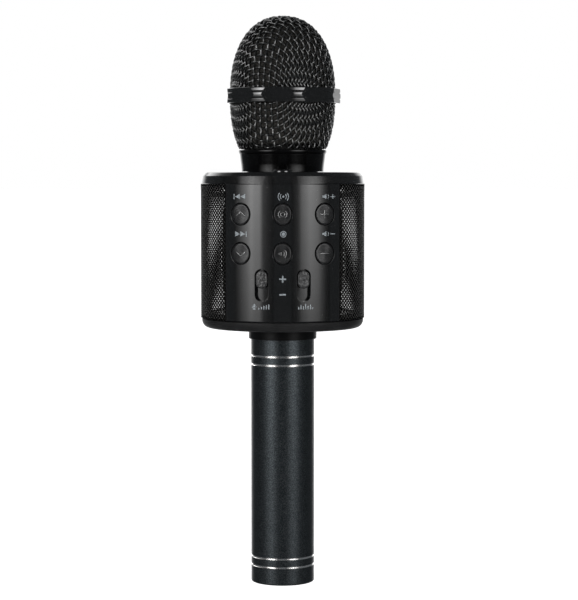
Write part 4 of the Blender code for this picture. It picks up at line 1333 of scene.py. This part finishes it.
def add_wire(shape, path, normals, radius):
    sides = 10
    ahead = np.gradient(path, axis=0)
    ahead /= np.linalg.norm(ahead, axis=1)[:, None]
    side = np.cross(normals, ahead)
    side /= np.linalg.norm(side, axis=1)[:, None]
    up = np.cross(ahead, side)
    rings = []
    for p, a, b in zip(path, side, up):
        rings.append(shape.ring([p + radius * (c * a + s * b) for c, s in circle(sides)]))
    shape.tube(rings)


def clip_runs(path, normals, keep):
    """The parts of a wire that lie at the kept heights, each with its normals."""
    rows = stretches(range(len(path)), lambda k: keep(path[k][2]), 4)
    return [(path[row], normals[row]) for row in rows]


WIRE, WEAVE_PITCH = 0.4 * MM, 2.5 * MM
UPPER_POWER, LOWER_POWER = 2.28, 2.4
LOWER_HALF_HEIGHT = 35.3 * MM


def make_basket(name, source, dome, up, keep, turn):
    """Both families of a basket's wires. up is 1 for the upper basket and -1 for the lower one."""
    count = int(1.35 * (dome.height + dome.radius) / WEAVE_PITCH)
    net = woven_net(dome, WEAVE_PITCH, count)
    c, s = math.cos(math.radians(turn)), math.sin(math.radians(turn))
    to_world, lift = np.array([(c, s, 0), (-s, c, 0), (0, 0, up)]), 0.95 * WIRE
    for family, along_first, over in (("warp", True, 1), ("weft", False, -1)):
        shape = Shape()
        for run in weave_family(net, count, along_first, over):
            path, normals = wire_path(dome, run, lift)
            for points, ups in clip_runs(path, normals, keep):
                add_wire(shape, points @ to_world + (0, 0, BAND_CENTRE), ups @ to_world, WIRE)
        replaced = [source] if family == "warp" else []
        build(f"{name}_{family}", shape, MATERIALS["wire"], "head", replaced, sharp=180)


def make_head():
    """Both baskets, whose wires end behind the band."""
    edge, floor_gap = 0.3 * MM, 0.1 * MM
    radius = high("upper_grille").x - 2 * WIRE
    upper = Dome(radius, high("upper_grille").z - BAND_CENTRE - 2 * WIRE, UPPER_POWER)
    make_basket("upper_mesh", "upper_grille", upper, 1, lambda h: h > -edge, -28)
    lower = Dome(radius, LOWER_HALF_HEIGHT - 2 * WIRE, LOWER_POWER)
    floor = BAND_CENTRE - low("lower_grille").z - floor_gap
    make_basket("lower_mesh", "lower_grille", lower, -1, lambda h: edge < h < floor, -19)


def make_foam():
    """The liner behind the mesh, with a slightly rough outer skin."""
    bottom, top = high("grille_thread_ring").z + GAP, high("foam_liner").z
    centre, radius, wall = BAND_CENTRE, high("foam_liner").x, 2.4 * MM
    lower_steps, upper_steps = 40, 60
    sides, roughness, features = 144, 0.12 * MM, 700
    outer, inner = [], []
    for k in range(lower_steps):
        z = bottom + (centre - bottom) * k / lower_steps
        share = (centre - z) / LOWER_HALF_HEIGHT
        outer.append((radius * (1 - share**LOWER_POWER) ** (1 / LOWER_POWER), z))
    for k in range(upper_steps + 1):
        angle = math.pi / 2 * k / upper_steps
        across = radius * math.cos(angle) ** (2 / UPPER_POWER) if k < upper_steps else 0
        outer.append((across, centre + (top - centre) * math.sin(angle) ** (2 / UPPER_POWER)))
    for r, z in outer:
        share = max(z - centre, 0) / (top - centre)
        inner.append((max(r - wall, 0), z - wall * share))
    shape = Shape()
    profiles = []
    for profile, rough in ((outer, roughness), (inner, 0)):
        rings = []
        for r, z in profile:
            points = []
            for i in range(sides if r > 0 else 1):
                spot = Vector(around(360 * i / sides, r, z))
                shift = rough * noise.noise(spot * features) - rough
                points.append(Vector(around(360 * i / sides, max(r + shift, 0), z)))
            rings.append(shape.ring(points))
        profiles.append(rings)
    for rings in profiles:
        shape.tube(rings, caps=False)
    shape.bridge(profiles[0][0], profiles[1][0])
    liner = build("foam_skin", shape, MATERIALS["foam"], "head", ["foam_liner"], sharp=180)


# ---------------- studio


def between(pairs, value):
    return float(np.interp(value, [p[0] for p in pairs], [p[1] for p in pairs]))


def softbox(name, across, upward, radiance):
    """An upright curved screen of light. across gives its brightness by azimuth, upward by height."""
    mesh = bpy.data.meshes.new(name)
    distance, columns, rows = 1.4, 40, 40
    turns = np.linspace(across[0][0], across[-1][0], columns + 1)
    heights = np.linspace(upward[0][0], upward[-1][0], rows + 1)
    points = [around(a, distance, z) for z in heights for a in turns]
    levels = [radiance * between(across, a) * between(upward, z) for z in heights for a in turns]
    wide = columns + 1
    corners = [j * wide + i for j in range(rows) for i in range(columns)]
    mesh.from_pydata(points, [], [(n, n + 1, n + 1 + wide, n + wide) for n in corners])
    mesh.attributes.new("level", "FLOAT", "POINT").data.foreach_set("value", levels)
    material, tree, principled = shader(name, (0, 0, 0), 1.0, 0.0, 0.0)
    principled.inputs["Emission Color"].default_value = (1, 1, 1, 1)
    level = node(tree, "ShaderNodeAttribute", attribute_name="level")
    tree.links.new(level.outputs["Fac"], principled.inputs["Emission Strength"])
    mesh.materials.append(material)
    screen = add_object(name, mesh)
    screen.visible_camera = False


def make_lights():
    """Two tall softboxes in front, brightest a little above the microphone, and a rim light behind it."""
    upward = [(-0.6, 2.0), (-0.2, 1.8), (-0.15, 0.5), (-0.1, 0.1), (-0.05, 0.4), (0.027, 2.3), (0.07, 3.3)]
    upward += [(0.17, 5.4), (0.25, 10), (0.35, 16), (0.47, 16), (0.56, 9), (0.65, 3), (0.75, 0.9)]
    upward.append((0.95, 0.3))
    left = [(-70, 0), (-62, 0.18), (-56, 0.42), (-50, 0.65), (-44, 1), (-38, 0.8), (-32, 0.77), (-27, 0.15)]
    left += [(-20, 0.06), (-12, 0)]
    right = [(12, 0), (20, 0.08), (23, 0.2), (26, 0.5), (32, 0.75), (38, 1), (44, 0.88), (50, 0.72)]
    right += [(56, 0.3), (62, 0.07), (68, 0)]
    softbox("left_softbox", left, upward, 1.0)
    softbox("right_softbox", right, upward, 0.8)
    rim = [(-165, 0.8), (-152, 1), (-142, 0.8), (-130, 0.15), (-112, 0.05), (-72, 0.04), (-64, 0)]
    softbox("rim_light", rim, [(0.5, 0), (0.7, 1), (1.7, 1), (2.0, 0)], 3.5)


def make_world():
    """A lit backdrop behind the microphone and a dim, cool room round the camera."""
    world = bpy.data.worlds.new("studio")
    bpy.context.scene.world = world
    world.use_nodes = True
    tree = world.node_tree
    background = tree.nodes["Background"]
    source = tree.nodes.new("ShaderNodeTexCoord")
    parts = tree.nodes.new("ShaderNodeSeparateXYZ")
    tree.links.new(source.outputs["Generated"], parts.inputs["Vector"])
    room, backdrop = (0.11, 0.12, 0.128), (1.5, 1.5, 1.5)
    colours = colour_ramp(tree, parts.outputs["Y"], room, backdrop, (0.78, 0.92))
    camera_ray = tree.nodes.new("ShaderNodeLightPath")
    mix = node(tree, "ShaderNodeMix", data_type="RGBA")
    share, in_reflections, in_view = (mix.inputs[i] for i in (0, 6, 7))
    in_view.default_value = (1, 1, 1, 1)
    tree.links.new(camera_ray.outputs["Is Camera Ray"], share)
    tree.links.new(colours, in_reflections)
    tree.links.new(mix.outputs[2], background.inputs["Color"])


def make_floor():
    """A pale floor, bright enough to run into the backdrop."""
    mesh = bpy.data.meshes.new("floor")
    reach = 30.0
    corners = [(-reach, -reach, 0), (reach, -reach, 0), (reach, reach, 0), (-reach, reach, 0)]
    mesh.from_pydata(corners, [], [(0, 1, 2, 3)])
    floor = add_object("floor", mesh, (0, 0, -0.05 * MM))
    material, _, principled = shader("pale_floor", (0.8, 0.8, 0.8), 0.8)
    principled.inputs["Emission Color"].default_value = (1, 1, 1, 1)
    principled.inputs["Emission Strength"].default_value = 1.0
    mesh.materials.append(material)
    floor.visible_glossy = False
    floor.visible_shadow = False


def make_camera():
    """Level with the top of the housing, as far off as the flattened rings say, aimed at mid-height."""
    data = bpy.data.cameras.new("camera")
    data.lens = 120.5
    data.sensor_width = 36
    eye = Vector((0, -0.887, 0.1788))
    aim = Vector((0.0028, 0, 0.1251))
    camera = add_object("camera", data, eye)
    camera.rotation_euler = (aim - eye).to_track_quat("-Z", "Y").to_euler()
    data.clip_start, data.clip_end = 0.05, 100
    bpy.context.scene.camera = camera
    bpy.context.scene.view_settings.view_transform = "Standard"


MAKERS = [
    dress_hidden_parts, make_handle, make_plug, make_socket, make_base_cover, make_screws,
    make_top_cover, make_power_key, make_front_panel, make_back_panel, make_keys, make_sliders,
    make_signs, make_grilles, make_collar, make_band, make_head, make_foam, make_lights, make_world,
    make_floor, make_camera,
]
for make in MAKERS:
    make()
